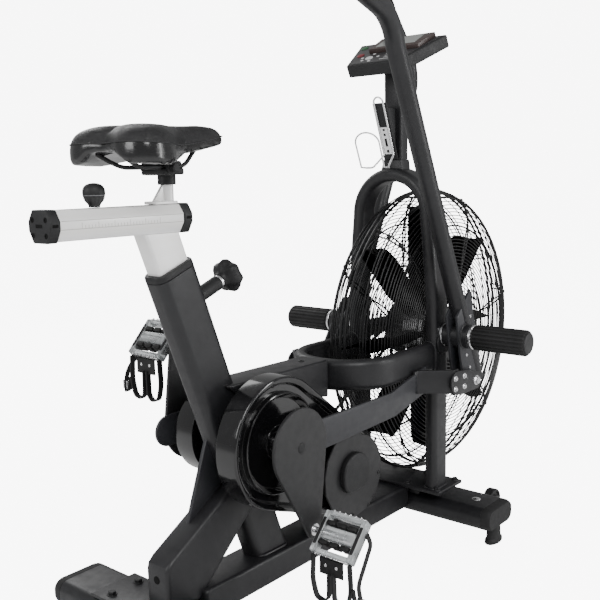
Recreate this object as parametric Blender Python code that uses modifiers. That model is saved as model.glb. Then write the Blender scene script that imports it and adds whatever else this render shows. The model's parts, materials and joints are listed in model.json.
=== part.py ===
"""Air bike: a fan-braked exercise bike with swinging handle arms, modelled as separate pieces.

Metres, +Z up, +X forward, +Y to the rider's left. The origin is under the middle of the bike, on the floor.
The right side has side = -1 and the left side has side = 1.
"""

import math

import bmesh
import bpy
from mathutils import Matrix, Vector

# ---------------------------------------------------------------- driving dimensions
GAP = 0.0003
RIGHT, LEFT = -1, 1

CRANK = Vector((-0.2875, 0, 0.353))
CRANK_LENGTH = 0.166
CRANK_LEAN = math.radians(-11.5)
ECCENTRIC = 0.043
SHAFT = Vector((-0.0975, 0, 0.245))
FAN = Vector((0.3585, 0, 0.454))
FAN_RADIUS = 0.338
CAGE_HALF = 0.075
ARM_PIVOT = Vector((0.2425, 0, 0.473))
LEVER_PIN = Vector((0.2655, 0, 0.372))
ARM_SWING = math.radians(50)
LINK_TURN = math.radians(52.07)

LEG_X, LEG_Y, LEG_DEEP, LEG_THICK = 0.2325, 0.105, 0.060, 0.030
ARCH_TOP = 0.842
PEG_END = 0.323
WALL = 0.0025

FRONT_BAR_X, FRONT_BAR_Z, FRONT_BAR_HALF = 0.2795, 0.064, 0.224
REAR_BAR_X, REAR_BAR_Z, REAR_BAR_HALF = -0.490, 0.060, 0.240
BAR_DEEP, BAR_TALL = 0.114, 0.050
BEAM_TOP, BEAM_TALL, BEAM_WIDE = 0.110, 0.055, 0.080

SEAT_LEAN = math.radians(20.8)
SEAT_FOOT = Vector((-0.2375, 0, BEAM_TOP))
SEAT_TUBE_LENGTH = 0.602
KNOB_UP = 0.537
SEAT_TUBE_DEEP, SEAT_TUBE_WIDE = 0.086, 0.050
POST_DEEP, POST_WIDE = 0.068, 0.034
RAIL_Z, RAIL_REAR, RAIL_FRONT = 0.765, -0.6772, -0.4385
RAIL_WIDE, RAIL_TALL = 0.052, 0.046
SADDLE_X = -0.492
STUB_X = -0.4500
SADDLE_Z = 0.848

MAST_TOP = 1.066
ARCH_HALF = 0.0900
CONSOLE_PLACE = Vector((0.206, 0, 1.081))
CONSOLE_THICK = 0.028
CONSOLE_TILT = math.radians(-26.5)


# ---------------------------------------------------------------- scene, materials, helpers
def clear_scene():
    for thing in list(bpy.data.objects):
        bpy.data.objects.remove(thing, do_unlink=True)


def new_collection(name):
    made = bpy.data.collections.new(name)
    bpy.context.scene.collection.children.link(made)
    return made


def new_material(name, colour, roughness, metallic=0.0):
    made = bpy.data.materials.new(name)
    made.use_nodes = True
    shader = made.node_tree.nodes["Principled BSDF"]
    shader.inputs["Base Color"].default_value = (*colour, 1)
    shader.inputs["Roughness"].default_value = roughness
    shader.inputs["Metallic"].default_value = metallic
    return made


clear_scene()
PARTS = new_collection("air_bike")
CUTTERS = new_collection("cutters")
BLACK_PAINT = new_material("black_paint", (0.012, 0.012, 0.013), 0.45)
GLOSS_PLASTIC = new_material("gloss_plastic", (0.006, 0.006, 0.007), 0.12)
MATTE_PLASTIC = new_material("matte_plastic", (0.020, 0.020, 0.022), 0.55)
ALUMINIUM = new_material("aluminium", (0.72, 0.72, 0.73), 0.30, 1.0)
STEEL = new_material("steel", (0.55, 0.55, 0.56), 0.28, 1.0)
RUBBER = new_material("rubber", (0.018, 0.018, 0.018), 0.75)
LEATHER = new_material("leather", (0.015, 0.015, 0.016), 0.38)
CLEAR_PLASTIC = new_material("clear_plastic", (0.80, 0.82, 0.83), 0.15)


def add_object(name, mesh, material=None):
    made = bpy.data.objects.new(name, mesh)
    if material:
        PARTS.objects.link(made)
        mesh.materials.append(material)
    else:
        CUTTERS.objects.link(made)
        made.hide_render = True
        made.display_type = "WIRE"
    return made


def from_bmesh(name, shape, material, smooth=False):
    bmesh.ops.recalc_face_normals(shape, faces=shape.faces)
    mesh = bpy.data.meshes.new(name)
    shape.to_mesh(mesh)
    shape.free()
    if smooth:
        mesh.shade_smooth()
        mesh.set_sharp_from_angle(angle=math.radians(35))
    return add_object(name, mesh, material)


def box(name, size, place, material=None, lean=0.0, round_by=0.0, steps=2):
    """A box of this size, turned about Y by lean, with its long edges rounded."""
    shape = bmesh.new()
    bmesh.ops.create_cube(shape, size=1)
    bmesh.ops.scale(shape, vec=size, verts=shape.verts)
    if round_by:
        bmesh.ops.bevel(shape, geom=shape.edges[:], offset=round_by, segments=steps, affect="EDGES", profile=0.5)
    made = from_bmesh(name, shape, material)
    made.data.transform(Matrix.Translation(place) @ Matrix.Rotation(lean, 4, "Y"))
    return made


def rod(name, radius, start, end, material=None, sides=20, end_radius=None):
    """A round bar or cone from start to end."""
    start, end = Vector(start), Vector(end)
    shape = bmesh.new()
    length = (end - start).length
    last = radius if end_radius is None else end_radius
    bmesh.ops.create_cone(shape, cap_ends=True, segments=sides, radius1=radius, radius2=last, depth=length)
    made = from_bmesh(name, shape, material, smooth=True)
    turn = Vector((0, 0, 1)).rotation_difference(end - start).to_matrix().to_4x4()
    made.data.transform(Matrix.Translation((start + end) / 2) @ turn)
    return made


def turned(name, profile, place, axis, material=None, sides=24):
    """A solid of revolution: profile lists (radius, height) from top to bottom, along axis from place."""
    mesh = bpy.data.meshes.new(name)
    points = [(radius, 0, height) for radius, height in profile]
    mesh.from_pydata(points, [(i, i + 1) for i in range(len(points) - 1)], [])
    made = add_object(name, mesh, material)
    turn = Vector((0, 0, 1)).rotation_difference(Vector(axis)).to_matrix().to_4x4()
    made.matrix_world = Matrix.Translation(place) @ turn
    screw = made.modifiers.new("turn", "SCREW")
    screw.steps = screw.render_steps = sides
    screw.use_merge_vertices = True
    screw.merge_threshold = 0.00001
    screw.use_smooth_shade = True
    return made


def plate(name, outline, thickness, side_place, material=None, plane="XZ", round_by=0.0, segments=2):
    """A flat plate: outline is a closed list of points in the plane, side_place its middle along the third axis."""
    curve = bpy.data.curves.new(name, "CURVE")
    curve.dimensions = "2D"
    curve.fill_mode = "BOTH"
    curve.extrude = thickness / 2
    spline = curve.splines.new("POLY")
    spline.points.add(len(outline) - 1)
    for point, (across, up) in zip(spline.points, outline):
        point.co = (across, up, 0, 1)
    spline.use_cyclic_u = True
    holder = bpy.data.objects.new(name, curve)
    CUTTERS.objects.link(holder)
    mesh = bpy.data.meshes.new_from_object(holder.evaluated_get(bpy.context.evaluated_depsgraph_get()))
    bpy.data.objects.remove(holder)
    if plane == "XZ":
        turn = Matrix(((1, 0, 0, 0), (0, 0, 1, side_place), (0, 1, 0, 0), (0, 0, 0, 1)))
    elif plane == "YZ":
        turn = Matrix(((0, 0, 1, side_place), (1, 0, 0, 0), (0, 1, 0, 0), (0, 0, 0, 1)))
    else:
        turn = Matrix.Translation((0, 0, side_place))
    mesh.transform(turn)
    shape = bmesh.new()
    shape.from_mesh(mesh)
    bmesh.ops.remove_doubles(shape, verts=shape.verts, dist=0.00001)
    bmesh.ops.dissolve_limit(shape, angle_limit=0.01, verts=shape.verts, edges=shape.edges)
    if round_by:
        rims = [e for e in shape.edges if len(e.link_faces) == 2 and e.calc_face_angle() > math.radians(50)]
        bmesh.ops.bevel(shape, geom=rims, offset=round_by, segments=segments, affect="EDGES", profile=0.5)
    bpy.data.meshes.remove(mesh)
    return from_bmesh(name, shape, material)


def tube(name, points, radius, material=None, sides=2):
    """A round tube along points, as a mesh with its caps welded."""
    curve = bpy.data.curves.new(name, "CURVE")
    curve.dimensions = "3D"
    curve.bevel_depth = radius
    curve.bevel_resolution = sides
    curve.use_fill_caps = True
    spline = curve.splines.new("POLY")
    spline.points.add(len(points) - 1)
    for point, place in zip(spline.points, points):
        point.co = (*place, 1)
    holder = bpy.data.objects.new(name, curve)
    CUTTERS.objects.link(holder)
    mesh = bpy.data.meshes.new_from_object(holder.evaluated_get(bpy.context.evaluated_depsgraph_get()))
    bpy.data.objects.remove(holder)
    shape = bmesh.new()
    shape.from_mesh(mesh)
    bmesh.ops.remove_doubles(shape, verts=shape.verts, dist=0.00001)
    bpy.data.meshes.remove(mesh)
    return from_bmesh(name, shape, material, smooth=True)


def combine(target, tool, operation):
    change = target.modifiers.new(operation.lower(), "BOOLEAN")
    change.operation = operation
    change.solver = "EXACT"
    change.object = tool
    return target


def cut(target, *tools):
    for tool in tools:
        combine(target, tool, "DIFFERENCE")
    return target


def join(target, *tools):
    for tool in tools:
        combine(target, tool, "UNION")
    return target


def baked(target):
    """The object's evaluated mesh put in place of its modifiers."""
    mesh = bpy.data.meshes.new_from_object(target.evaluated_get(bpy.context.evaluated_depsgraph_get()))
    mesh.transform(target.matrix_world)
    target.modifiers.clear()
    target.data = mesh
    target.matrix_world = Matrix()
    return target


def arc(middle, radius, start, end, steps):
    """Points on a circle in a plane, from start to end in degrees."""
    turns = [math.radians(start + (end - start) * i / steps) for i in range(steps + 1)]
    return [(middle[0] + radius * math.cos(a), middle[1] + radius * math.sin(a)) for a in turns]


def hull(first, first_radius, second, second_radius, steps=12):
    """The outline of a belt round two circles, the second circle on the right."""
    across, up = second[0] - first[0], second[1] - first[1]
    along = math.degrees(math.atan2(up, across))
    open_by = math.degrees(math.asin((first_radius - second_radius) / math.hypot(across, up)))
    left = arc(first, first_radius, along + 90 - open_by, along + 270 + open_by, steps)
    right = arc(second, second_radius, along - 90 + open_by, along + 90 - open_by, steps)
    return left + right


def flat(point):
    return (point.x, point.z)


def pivot(name, place, parent=None, turn=0.0):
    """An empty on a joint's axis. What hangs on it keeps its place when turn is 0."""
    made = bpy.data.objects.new(name, None)
    PARTS.objects.link(made)
    made.location = place
    made.rotation_euler[1] = turn
    if parent:
        made.parent = parent
        made.matrix_parent_inverse = Matrix.Translation(-Vector(parent["home"]))
    made["home"] = Vector(place)
    return made


def hang(empty, *pieces):
    for piece in pieces:
        baked(piece)
        piece.parent = empty
        piece.matrix_parent_inverse = Matrix.Translation(-Vector(empty["home"]))


# ---------------------------------------------------------------- welded frames
def up_seat(distance, forward=0.0):
    """A point on the seat tube's middle plane, this far up it and forward of its centre line."""
    lean_up = Vector((-math.sin(SEAT_LEAN), 0, math.cos(SEAT_LEAN)))
    lean_forward = Vector((math.cos(SEAT_LEAN), 0, math.sin(SEAT_LEAN)))
    return SEAT_FOOT + lean_up * distance + lean_forward * forward


def seat_bar(name, deep, wide, start, end, round_by=0.0):
    middle = up_seat((start + end) / 2)
    return box(name, (deep, wide, end - start), middle, None, -SEAT_LEAN, round_by)


def make_main_frame():
    beam_front = LEG_X - 0.011
    beam_rear = REAR_BAR_X + BAR_DEEP / 2 + GAP
    beam_middle = ((beam_front + beam_rear) / 2, 0, BEAM_TOP - BEAM_TALL / 2)
    frame = box("main_frame", (beam_front - beam_rear, BEAM_WIDE, BEAM_TALL), beam_middle, BLACK_PAINT, 0, 0.006)
    strut_outline = [(-0.510, 0.0915), (-0.436, 0.0915), (-0.424, 0.102), (-0.280, 0.231), (-0.290, 0.305), (-0.510, 0.178)]
    strut = plate("strut", strut_outline, 0.056, 0, None, "XZ", 0.010)
    foot_plate = box("foot_plate", (0.100, 0.300, 0.006), (REAR_BAR_X, 0, 0.0885))
    box_beam = plate("box_beam", [(-0.36, 0.4805), (-0.0705, 0.4394), (-0.0705, 0.382), (-0.31, 0.455)], 0.070, 0, None, "XZ", 0.006)
    gusset = plate("gusset", [(-0.352, 0.44), (-0.30, 0.40), (-0.30, 0.28), (-0.44, 0.20), (-0.382, 0.36)], 0.008, 0.006)
    seat_tube = seat_bar("seat_tube", SEAT_TUBE_DEEP, SEAT_TUBE_WIDE, -0.03, SEAT_TUBE_LENGTH, 0.016)
    side_plates = [
        plate("side_plate", hull(flat(CRANK), 0.060, flat(SHAFT), 0.040), 0.004, side * 0.0475) for side in (RIGHT, LEFT)
    ]
    shell = rod("bracket_shell", 0.030, CRANK + Vector((0, -0.049, 0)), CRANK + Vector((0, 0.049, 0)))
    housing = rod("shaft_housing", 0.024, SHAFT + Vector((0, -0.049, 0)), SHAFT + Vector((0, 0.049, 0)))
    web = box("web", (0.018, 0.030, 0.150), (SHAFT.x, 0, 0.170))
    join(frame, strut, foot_plate, box_beam, gusset, seat_tube, *side_plates, shell, housing, web)
    inside_seat = seat_bar("seat_hollow", SEAT_TUBE_DEEP - 2 * WALL, SEAT_TUBE_WIDE - 2 * WALL, -0.02, SEAT_TUBE_LENGTH + 0.02, 0.012)
    inside_beam = box("beam_hollow", (beam_front - beam_rear + 0.02, BEAM_WIDE - 2 * WALL, BEAM_TALL - 2 * WALL), beam_middle)
    cut(frame, inside_seat, inside_beam)
    tube_shell = rod("crank_sleeve", 0.028, CRANK + Vector((0, -0.048, 0)), CRANK + Vector((0, 0.048, 0)))
    join(frame, tube_shell)
    crank_bore = rod("crank_bore", 0.0215, CRANK + Vector((0, -0.06, 0)), CRANK + Vector((0, 0.06, 0)))
    shaft_bore = rod("shaft_bore", 0.0095, SHAFT + Vector((0, -0.06, 0)), SHAFT + Vector((0, 0.06, 0)))
    knob_hole = rod("knob_hole", 0.0075, up_seat(KNOB_UP, 0.030), up_seat(KNOB_UP, 0.060))
    cut(frame, crank_bore, shaft_bore, knob_hole)


def arch_outline(reach):
    """An upside-down U, upright up to the bend and drawn in above it; reach is half the tube's width."""
    bottom, bend = 0.1145, 0.540
    middle = ARCH_TOP - ARCH_HALF - LEG_THICK / 2
    outer = arc((0, middle), ARCH_HALF + reach, 0, 180, 14)
    inner = arc((0, middle), ARCH_HALF - reach, 180, 0, 14)
    out, into = LEG_Y + reach, LEG_Y - reach
    return [(out, bottom), (out, bend)] + outer + [(-out, bend), (-out, bottom), (-into, bottom), (-into, bend)] + inner + [(into, bend), (into, bottom)]


def ubar_outline(thick):
    """A U seen from above, open forwards, its ends inside the legs."""
    half = LEG_Y + thick / 2
    corner = half - 0.002
    rear = -0.056 - thick / 2
    inner_half, inner_rear, inner_corner = half - thick, rear + thick, corner - thick
    ends = LEG_X
    outer = [(ends, half)] + arc((rear + corner, half - corner), corner, 90, 180, 6)
    outer += arc((rear + corner, corner - half), corner, 180, 270, 6) + [(ends, -half)]
    inner = [(ends, -inner_half)] + arc((inner_rear + inner_corner, inner_corner - inner_half), inner_corner, 270, 180, 6)
    inner += arc((inner_rear + inner_corner, inner_half - inner_corner), inner_corner, 180, 90, 6) + [(ends, inner_half)]
    return outer + inner


def make_front_frame():
    half = LEG_THICK / 2
    frame = plate("front_frame", arch_outline(half), LEG_DEEP, LEG_X, BLACK_PAINT, "YZ", 0.010)
    ubar = plate("ubar", ubar_outline(0.028), 0.065, 0.425, None, "XY", 0.008)
    floor_plate = box("floor_plate", (0.105, 0.270, 0.008), (0.2475, 0, 0.1145))
    join(frame, ubar, floor_plate)
    for side in (RIGHT, LEFT):
        arm = plate("fan_arm", hull((LEG_X, FAN.z), 0.024, flat(FAN), 0.020, 6), 0.0045, side * (LEG_Y + half + 0.0018))
        join(frame, arm)
    hollow = plate("arch_hollow", arch_outline(half - WALL), LEG_DEEP - 2 * WALL, LEG_X, None, "YZ", 0.0075, 1)
    cut(frame, hollow)
    reach = Vector((0, 0.14, 0))
    pivot_bore = rod("pivot_bore", 0.0125, ARM_PIVOT - reach, ARM_PIVOT + reach)
    fan_bore = rod("fan_bore", 0.0063, FAN - reach, FAN + reach)
    cut(frame, pivot_bore, fan_bore)


def make_mast():
    bottom = ARCH_TOP - 0.003
    mast = box("mast", (0.030, 0.045, MAST_TOP - bottom), (LEG_X, 0, (MAST_TOP + bottom) / 2), BLACK_PAINT, 0, 0.003)
    outline = [(-0.030, ARCH_TOP - 0.016), (0.030, ARCH_TOP - 0.016), (0.0225, 0.866), (-0.0225, 0.866)]
    saddle_plate = plate("mast_foot", outline, 0.050, LEG_X, None, "YZ")
    join(mast, saddle_plate)
    turn = Matrix.Translation(CONSOLE_PLACE) @ Matrix.Rotation(CONSOLE_TILT, 4, "Y")
    under = -CONSOLE_THICK / 2 - GAP
    head = box("mast_head", (0.056, 0.052, 0.007), turn @ Vector((0.022, 0, under - 0.0035)), None, CONSOLE_TILT)
    join(mast, head)
    above = box("above_mast", (0.20, 0.20, 0.10), turn @ Vector((0.022, 0, under + 0.05)), None, CONSOLE_TILT)
    middle = ARCH_TOP - ARCH_HALF - LEG_THICK / 2
    arch_solid = rod("arch_solid", ARCH_HALF + LEG_THICK / 2 + GAP, (0.15, 0, middle), (0.32, 0, middle), None, 80)
    cut(mast, arch_solid, above)


def oval_bar(name, half, place, material):
    """A wide oblong tube across the bike, hollow, with open ends."""
    size = (BAR_DEEP, 2 * half, BAR_TALL)
    bar = box(name, size, place, material)
    outer = bar.modifiers.new("round", "BEVEL")
    outer.width = 0.018
    outer.segments = 3
    outer.limit_method = "ANGLE"
    along = [e.index for e in bar.data.edges if abs(
        (bar.data.vertices[e.vertices[0]].co - bar.data.vertices[e.vertices[1]].co).y) > half]
    weights = bar.data.attributes.new("bevel_weight_edge", "FLOAT", "EDGE")
    for index in along:
        weights.data[index].value = 1.0
    outer.limit_method = "WEIGHT"
    hollow = box(name + "_hollow", (BAR_DEEP - 0.012, 2 * half + 0.01, BAR_TALL - 0.012), place, None, 0, 0.010)
    cut(bar, hollow)
    return bar


def make_stabilisers():
    front = oval_bar("front_stabiliser", FRONT_BAR_HALF, (FRONT_BAR_X, 0, FRONT_BAR_Z), BLACK_PAINT)
    riser = box("riser", (0.060, 0.120, 0.026), (0.262, 0, 0.0972))
    join(front, riser)
    for side in (RIGHT, LEFT):
        fork = box("wheel_fork", (0.034, 0.006, 0.030), (0.349, side * 0.190, 0.064))
        join(front, fork)
    oval_bar("rear_stabiliser", REAR_BAR_HALF, (REAR_BAR_X, 0, REAR_BAR_Z), BLACK_PAINT)
    for name, middle, height, half in (
        ("front", FRONT_BAR_X, FRONT_BAR_Z, FRONT_BAR_HALF),
        ("rear", REAR_BAR_X, REAR_BAR_Z, REAR_BAR_HALF),
    ):
        for side, word in ((RIGHT, "right"), (LEFT, "left")):
            make_foot(name + "_foot_" + word, middle, height, side * half, side)


def make_foot(name, middle, height, end, side):
    """An end cap with the foot moulded under it."""
    cap = box(name, (BAR_DEEP, 0.021, BAR_TALL), (middle, end + side * (0.0105 + GAP), height), RUBBER, 0, 0.008)
    plug = box(name + "_plug", (BAR_DEEP - 0.030, 0.024, BAR_TALL - 0.020), (middle, end - side * 0.004, height))
    join(cap, plug)
    bottom = height - BAR_TALL / 2
    foot = rod(name + "_pad", 0.0100, (middle, end + side * 0.011, 0), (middle, end + side * 0.011, bottom + 0.012), None, 16)
    foot.data.transform(Matrix.Translation((middle, 0, 0)) @ Matrix.Scale(3.0, 4, (1, 0, 0)) @ Matrix.Translation((-middle, 0, 0)))
    join(cap, foot)


def make_wheels():
    for side, word in ((RIGHT, "right"), (LEFT, "left")):
        middle = Vector((0.371, side * 0.190, 0.058))
        axle = pivot("wheel_axle_" + word, middle)
        profile = [(0.0, 0.026), (0.020, 0.026), (0.026, 0.021), (0.026, 0.0035), (0.0, 0.0035)]
        wheel = turned("transport_wheel_" + word, profile, middle, (0, -side, 0), RUBBER, 20)
        hang(axle, wheel)


# ---------------------------------------------------------------- seat
def make_seat():
    top = SEAT_TUBE_LENGTH
    collar = box("seat_sleeve", (SEAT_TUBE_DEEP + 0.004, SEAT_TUBE_WIDE + 0.004, 0.012), up_seat(top + 0.0063), MATTE_PLASTIC, -SEAT_LEAN, 0.004)
    inner = seat_bar("sleeve_tail", SEAT_TUBE_DEEP - 2 * WALL - 2 * GAP, SEAT_TUBE_WIDE - 2 * WALL - 2 * GAP, top - 0.05, top + 0.008, 0.0115)
    join(collar, inner)
    bore = seat_bar("sleeve_bore", POST_DEEP + 2 * GAP, POST_WIDE + 2 * GAP, top - 0.06, top + 0.03)
    stem_way = rod("stem_way", 0.0080, up_seat(KNOB_UP, 0.020), up_seat(KNOB_UP, 0.060))
    cut(collar, bore, stem_way)

    post_top = 0.694
    post = seat_bar("seat_post", POST_DEEP, POST_WIDE, 0.300, post_top, 0.004)
    post.data.materials.append(ALUMINIUM)
    CUTTERS.objects.unlink(post)
    PARTS.objects.link(post)
    post.hide_render = False
    post.display_type = "TEXTURED"
    level_cut = box("post_level", (0.3, 0.2, 0.1), (RAIL_FRONT - 0.05, 0, RAIL_Z - RAIL_TALL / 2 - GAP + 0.05))
    hollow = seat_bar("post_hollow", POST_DEEP - 0.005, POST_WIDE - 0.005, 0.25, post_top - 0.045)
    cut(post, level_cut, hollow)
    for step in range(5):
        hole = rod("post_hole", 0.0062, up_seat(KNOB_UP - 0.030 * step, 0.020), up_seat(KNOB_UP - 0.030 * step, 0.050), None, 8)
        cut(post, hole)
    make_slider()
    make_saddle()
    make_height_knob()


def rail_outline(wide, tall):
    """An eight-cornered section with the corners cut off, in the YZ plane."""
    y, z, chamfer = wide / 2, tall / 2, 0.013
    corners = [(y, -z + chamfer * 0.4), (y, z - chamfer), (y - chamfer, z), (chamfer - y, z)]
    corners += [(-y, z - chamfer), (-y, -z + chamfer * 0.4), (-y + chamfer * 0.4, -z), (y - chamfer * 0.4, -z)]
    return [(across, RAIL_Z + up) for across, up in corners]


def make_slider():
    middle = (RAIL_REAR + RAIL_FRONT) / 2
    length = RAIL_FRONT - RAIL_REAR
    rail = plate("slider_rail", rail_outline(RAIL_WIDE, RAIL_TALL), length, middle, ALUMINIUM, "YZ")
    channel = box("channel", (length + 0.02, 0.034, 0.026), (middle, 0, RAIL_Z + 0.004))
    slot = box("slot", (length + 0.02, 0.0125, 0.030), (middle, 0, RAIL_Z + 0.020))
    cut(rail, channel, slot)
    for word, place, side in (("rear", RAIL_REAR, -1), ("front", RAIL_FRONT, 1)):
        cap = plate("slider_cap_" + word, rail_outline(RAIL_WIDE + 0.003, RAIL_TALL + 0.003), 0.018,
                    place + side * (0.009 + GAP), MATTE_PLASTIC, "YZ", 0.001)
        plug = box("cap_plug", (0.012, 0.030, 0.020), (place - side * 0.004, 0, RAIL_Z + 0.004))
        join(cap, plug)
    slide = pivot("fore_aft", (SADDLE_X, 0, RAIL_Z))
    carriage = box("slider_carriage", (0.165, 0.033, 0.025), (-0.5325, 0, RAIL_Z + 0.004), STEEL)
    neck = box("stub_neck", (0.020, 0.011, 0.018), (STUB_X - 0.014, 0, RAIL_Z + 0.018))
    post = rod("stub_post", 0.0105, (STUB_X, 0, RAIL_Z + 0.0255), (STUB_X, 0, SADDLE_Z - 0.012), None, 20)
    foot = box("stub_foot", (0.049, 0.030, 0.006), (STUB_X - 0.0140, 0, RAIL_Z + 0.0265))
    web_outline = [(STUB_X - 0.006, RAIL_Z + 0.028), (STUB_X - 0.006, RAIL_Z + 0.062), (STUB_X - 0.032, RAIL_Z + 0.028)]
    web = plate("stub_web", web_outline, 0.006, 0)
    join(carriage, neck, foot, post, web)
    knob_x = SADDLE_X - 0.105
    knob_bore = rod("knob_bore", 0.0045, (knob_x, 0, RAIL_Z - 0.002), (knob_x, 0, RAIL_Z + 0.03), None, 16)
    cut(carriage, knob_bore)
    knob_axis = pivot("slider_knob_axis", (knob_x, 0, RAIL_Z))
    profile = [(0.0, 0.0585), (0.007, 0.058), (0.0145, 0.0535), (0.0172, 0.045), (0.0152, 0.036), (0.0110, 0.030),
               (0.0085, 0.0245), (0.0041, 0.0242), (0.0041, 0.002), (0.0, 0.002)]
    knob = turned("slider_knob", profile, (knob_x, 0, RAIL_Z), (0, 0, 1), MATTE_PLASTIC, 20)
    hang(slide, carriage)
    hang(knob_axis, knob)


def make_saddle():
    clamp_x = STUB_X - 0.008
    clamp = box("saddle_clamp", (0.044, 0.058, 0.022), (clamp_x, 0, SADDLE_Z - 0.014), STEEL, 0, 0.004)
    bore = rod("clamp_bore", 0.0108, (STUB_X, 0, SADDLE_Z - 0.05), (STUB_X, 0, SADDLE_Z - 0.0115), None, 20)
    cut(clamp, bore)
    points = []
    for side in (1, -1):
        half = [(0.095, 0.010, 0.036), (0.080, 0.014, 0.022), (0.062, 0.021, 0.0005), (-0.030, 0.021, 0.0005),
                (-0.050, 0.024, 0.012), (-0.068, 0.034, 0.030)]
        row = [(SADDLE_X + x, side * y, SADDLE_Z + z) for x, y, z in half]
        points += row if side == 1 else row[::-1]
    ordered = points[:6][::-1] + points[6:][::-1]
    rails = tube("saddle_rails", ordered, 0.0035, STEEL, 1)
    for side in (1, -1):
        groove = rod("rail_groove", 0.0040, (clamp_x - 0.03, side * 0.021, SADDLE_Z + 0.0005),
                     (clamp_x + 0.03, side * 0.021, SADDLE_Z + 0.0005), None, 12)
        cut(clamp, groove)
    base = plate("saddle_base", saddle_outline(0.93), 0.008, SADDLE_Z + 0.0445, MATTE_PLASTIC, "XY")
    cushion = plate("saddle_cushion", saddle_outline(1.0), 0.030, SADDLE_Z + 0.0640, LEATHER, "XY", 0.006)
    skirt = plate("skirt", saddle_outline(0.985), 0.046, SADDLE_Z + 0.030, None, "XY")
    inside = plate("skirt_inside", saddle_outline(0.940), 0.060, SADDLE_Z + 0.0194, None, "XY")
    ahead = box("skirt_ahead", (0.3, 0.3, 0.1), (SADDLE_X + 0.182, 0, SADDLE_Z + 0.03))
    cut(skirt, inside, ahead)
    join(cushion, skirt)
    return rails, base, cushion


def saddle_outline(scale):
    """A wide-backed saddle seen from above, nose forward."""
    shape = [(0.165, 0.0), (0.160, 0.018), (0.140, 0.026), (0.090, 0.032), (0.040, 0.045), (0.000, 0.068),
             (-0.040, 0.092), (-0.075, 0.100), (-0.105, 0.092), (-0.122, 0.065), (-0.122, 0.030), (-0.112, 0.0)]
    back = [(x, -y) for x, y in shape[-2:0:-1]]
    return [(SADDLE_X + 0.012 + 0.865 * x * scale, y * scale) for x, y in shape + back]


def make_height_knob():
    home = up_seat(KNOB_UP, SEAT_TUBE_DEEP / 2)
    out = Vector((math.cos(SEAT_LEAN), 0, math.sin(SEAT_LEAN)))
    axis = pivot("height_knob_axis", home)
    profile = [(0.0, 0.094), (0.020, 0.092), (0.030, 0.084), (0.032, 0.074), (0.027, 0.066), (0.014, 0.064),
               (0.014, 0.056), (0.0105, 0.055), (0.0105, 0.050), (0.0135, 0.049), (0.0135, GAP), (0.0068, GAP), (0.0068, -0.0070), (0.0056, -0.0083),
               (0.0, -0.0083)]
    knob = turned("height_knob", profile, home, out, MATTE_PLASTIC, 16)
    hang(axis, knob)


# ---------------------------------------------------------------- drive
def across(place, start, end):
    return place + Vector((0, start, 0)), place + Vector((0, end, 0))


def make_cases():
    front_lobe = (-0.0675, 0.230)
    outer = hull(flat(CRANK), 0.122, front_lobe, 0.083, 18)
    inner = hull(flat(CRANK), 0.119, front_lobe, 0.080, 14)
    for side, word in ((RIGHT, "right"), (LEFT, "left")):
        case = plate(word + "_case", outer, 0.047, side * 0.0737, GLOSS_PLASTIC, "XZ", 0.004)
        deep = plate("case_pocket", inner, 0.024, side * 0.0615)
        ring = plate("case_ring", inner, 0.0215, side * 0.0835)
        dish_wall = rod("dish_wall", 0.089, *across(CRANK, side * 0.070, side * 0.099), None, 28)
        cut(ring, dish_wall)
        dish = rod("dish", 0.086, *across(CRANK, side * 0.077, side * 0.099), None, 28)
        axle_hole = rod("axle_hole", 0.0140, *across(CRANK, side * 0.04, side * 0.11), None, 20)
        cut(case, deep, ring, dish, axle_hole)
        if side == RIGHT:
            continue
        way = Vector((FAN.x - SHAFT.x, 0, FAN.z - SHAFT.z))
        lean = -math.atan2(way.z, way.x)
        belt_way = box("belt_way", (0.30, 0.012, 0.112), SHAFT + way * 0.35 + Vector((0, 0.0845, 0)), None, lean)
        shaft_way = rod("shaft_way", 0.054, *across(SHAFT, 0.0785, 0.0905), None, 24)
        cut(case, belt_way, shaft_way)
    cover_outline = arc(front_lobe, 0.083, -150, 115, 24) + [(-0.125, 0.285), (-0.150, 0.230)]
    cover = plate("right_front_cover", cover_outline, 0.005, -0.1003, MATTE_PLASTIC)
    boss = rod("boss", 0.043, *across(SHAFT, -0.1015, -0.117), None, 32, 0.039)
    join(cover, boss)


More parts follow.
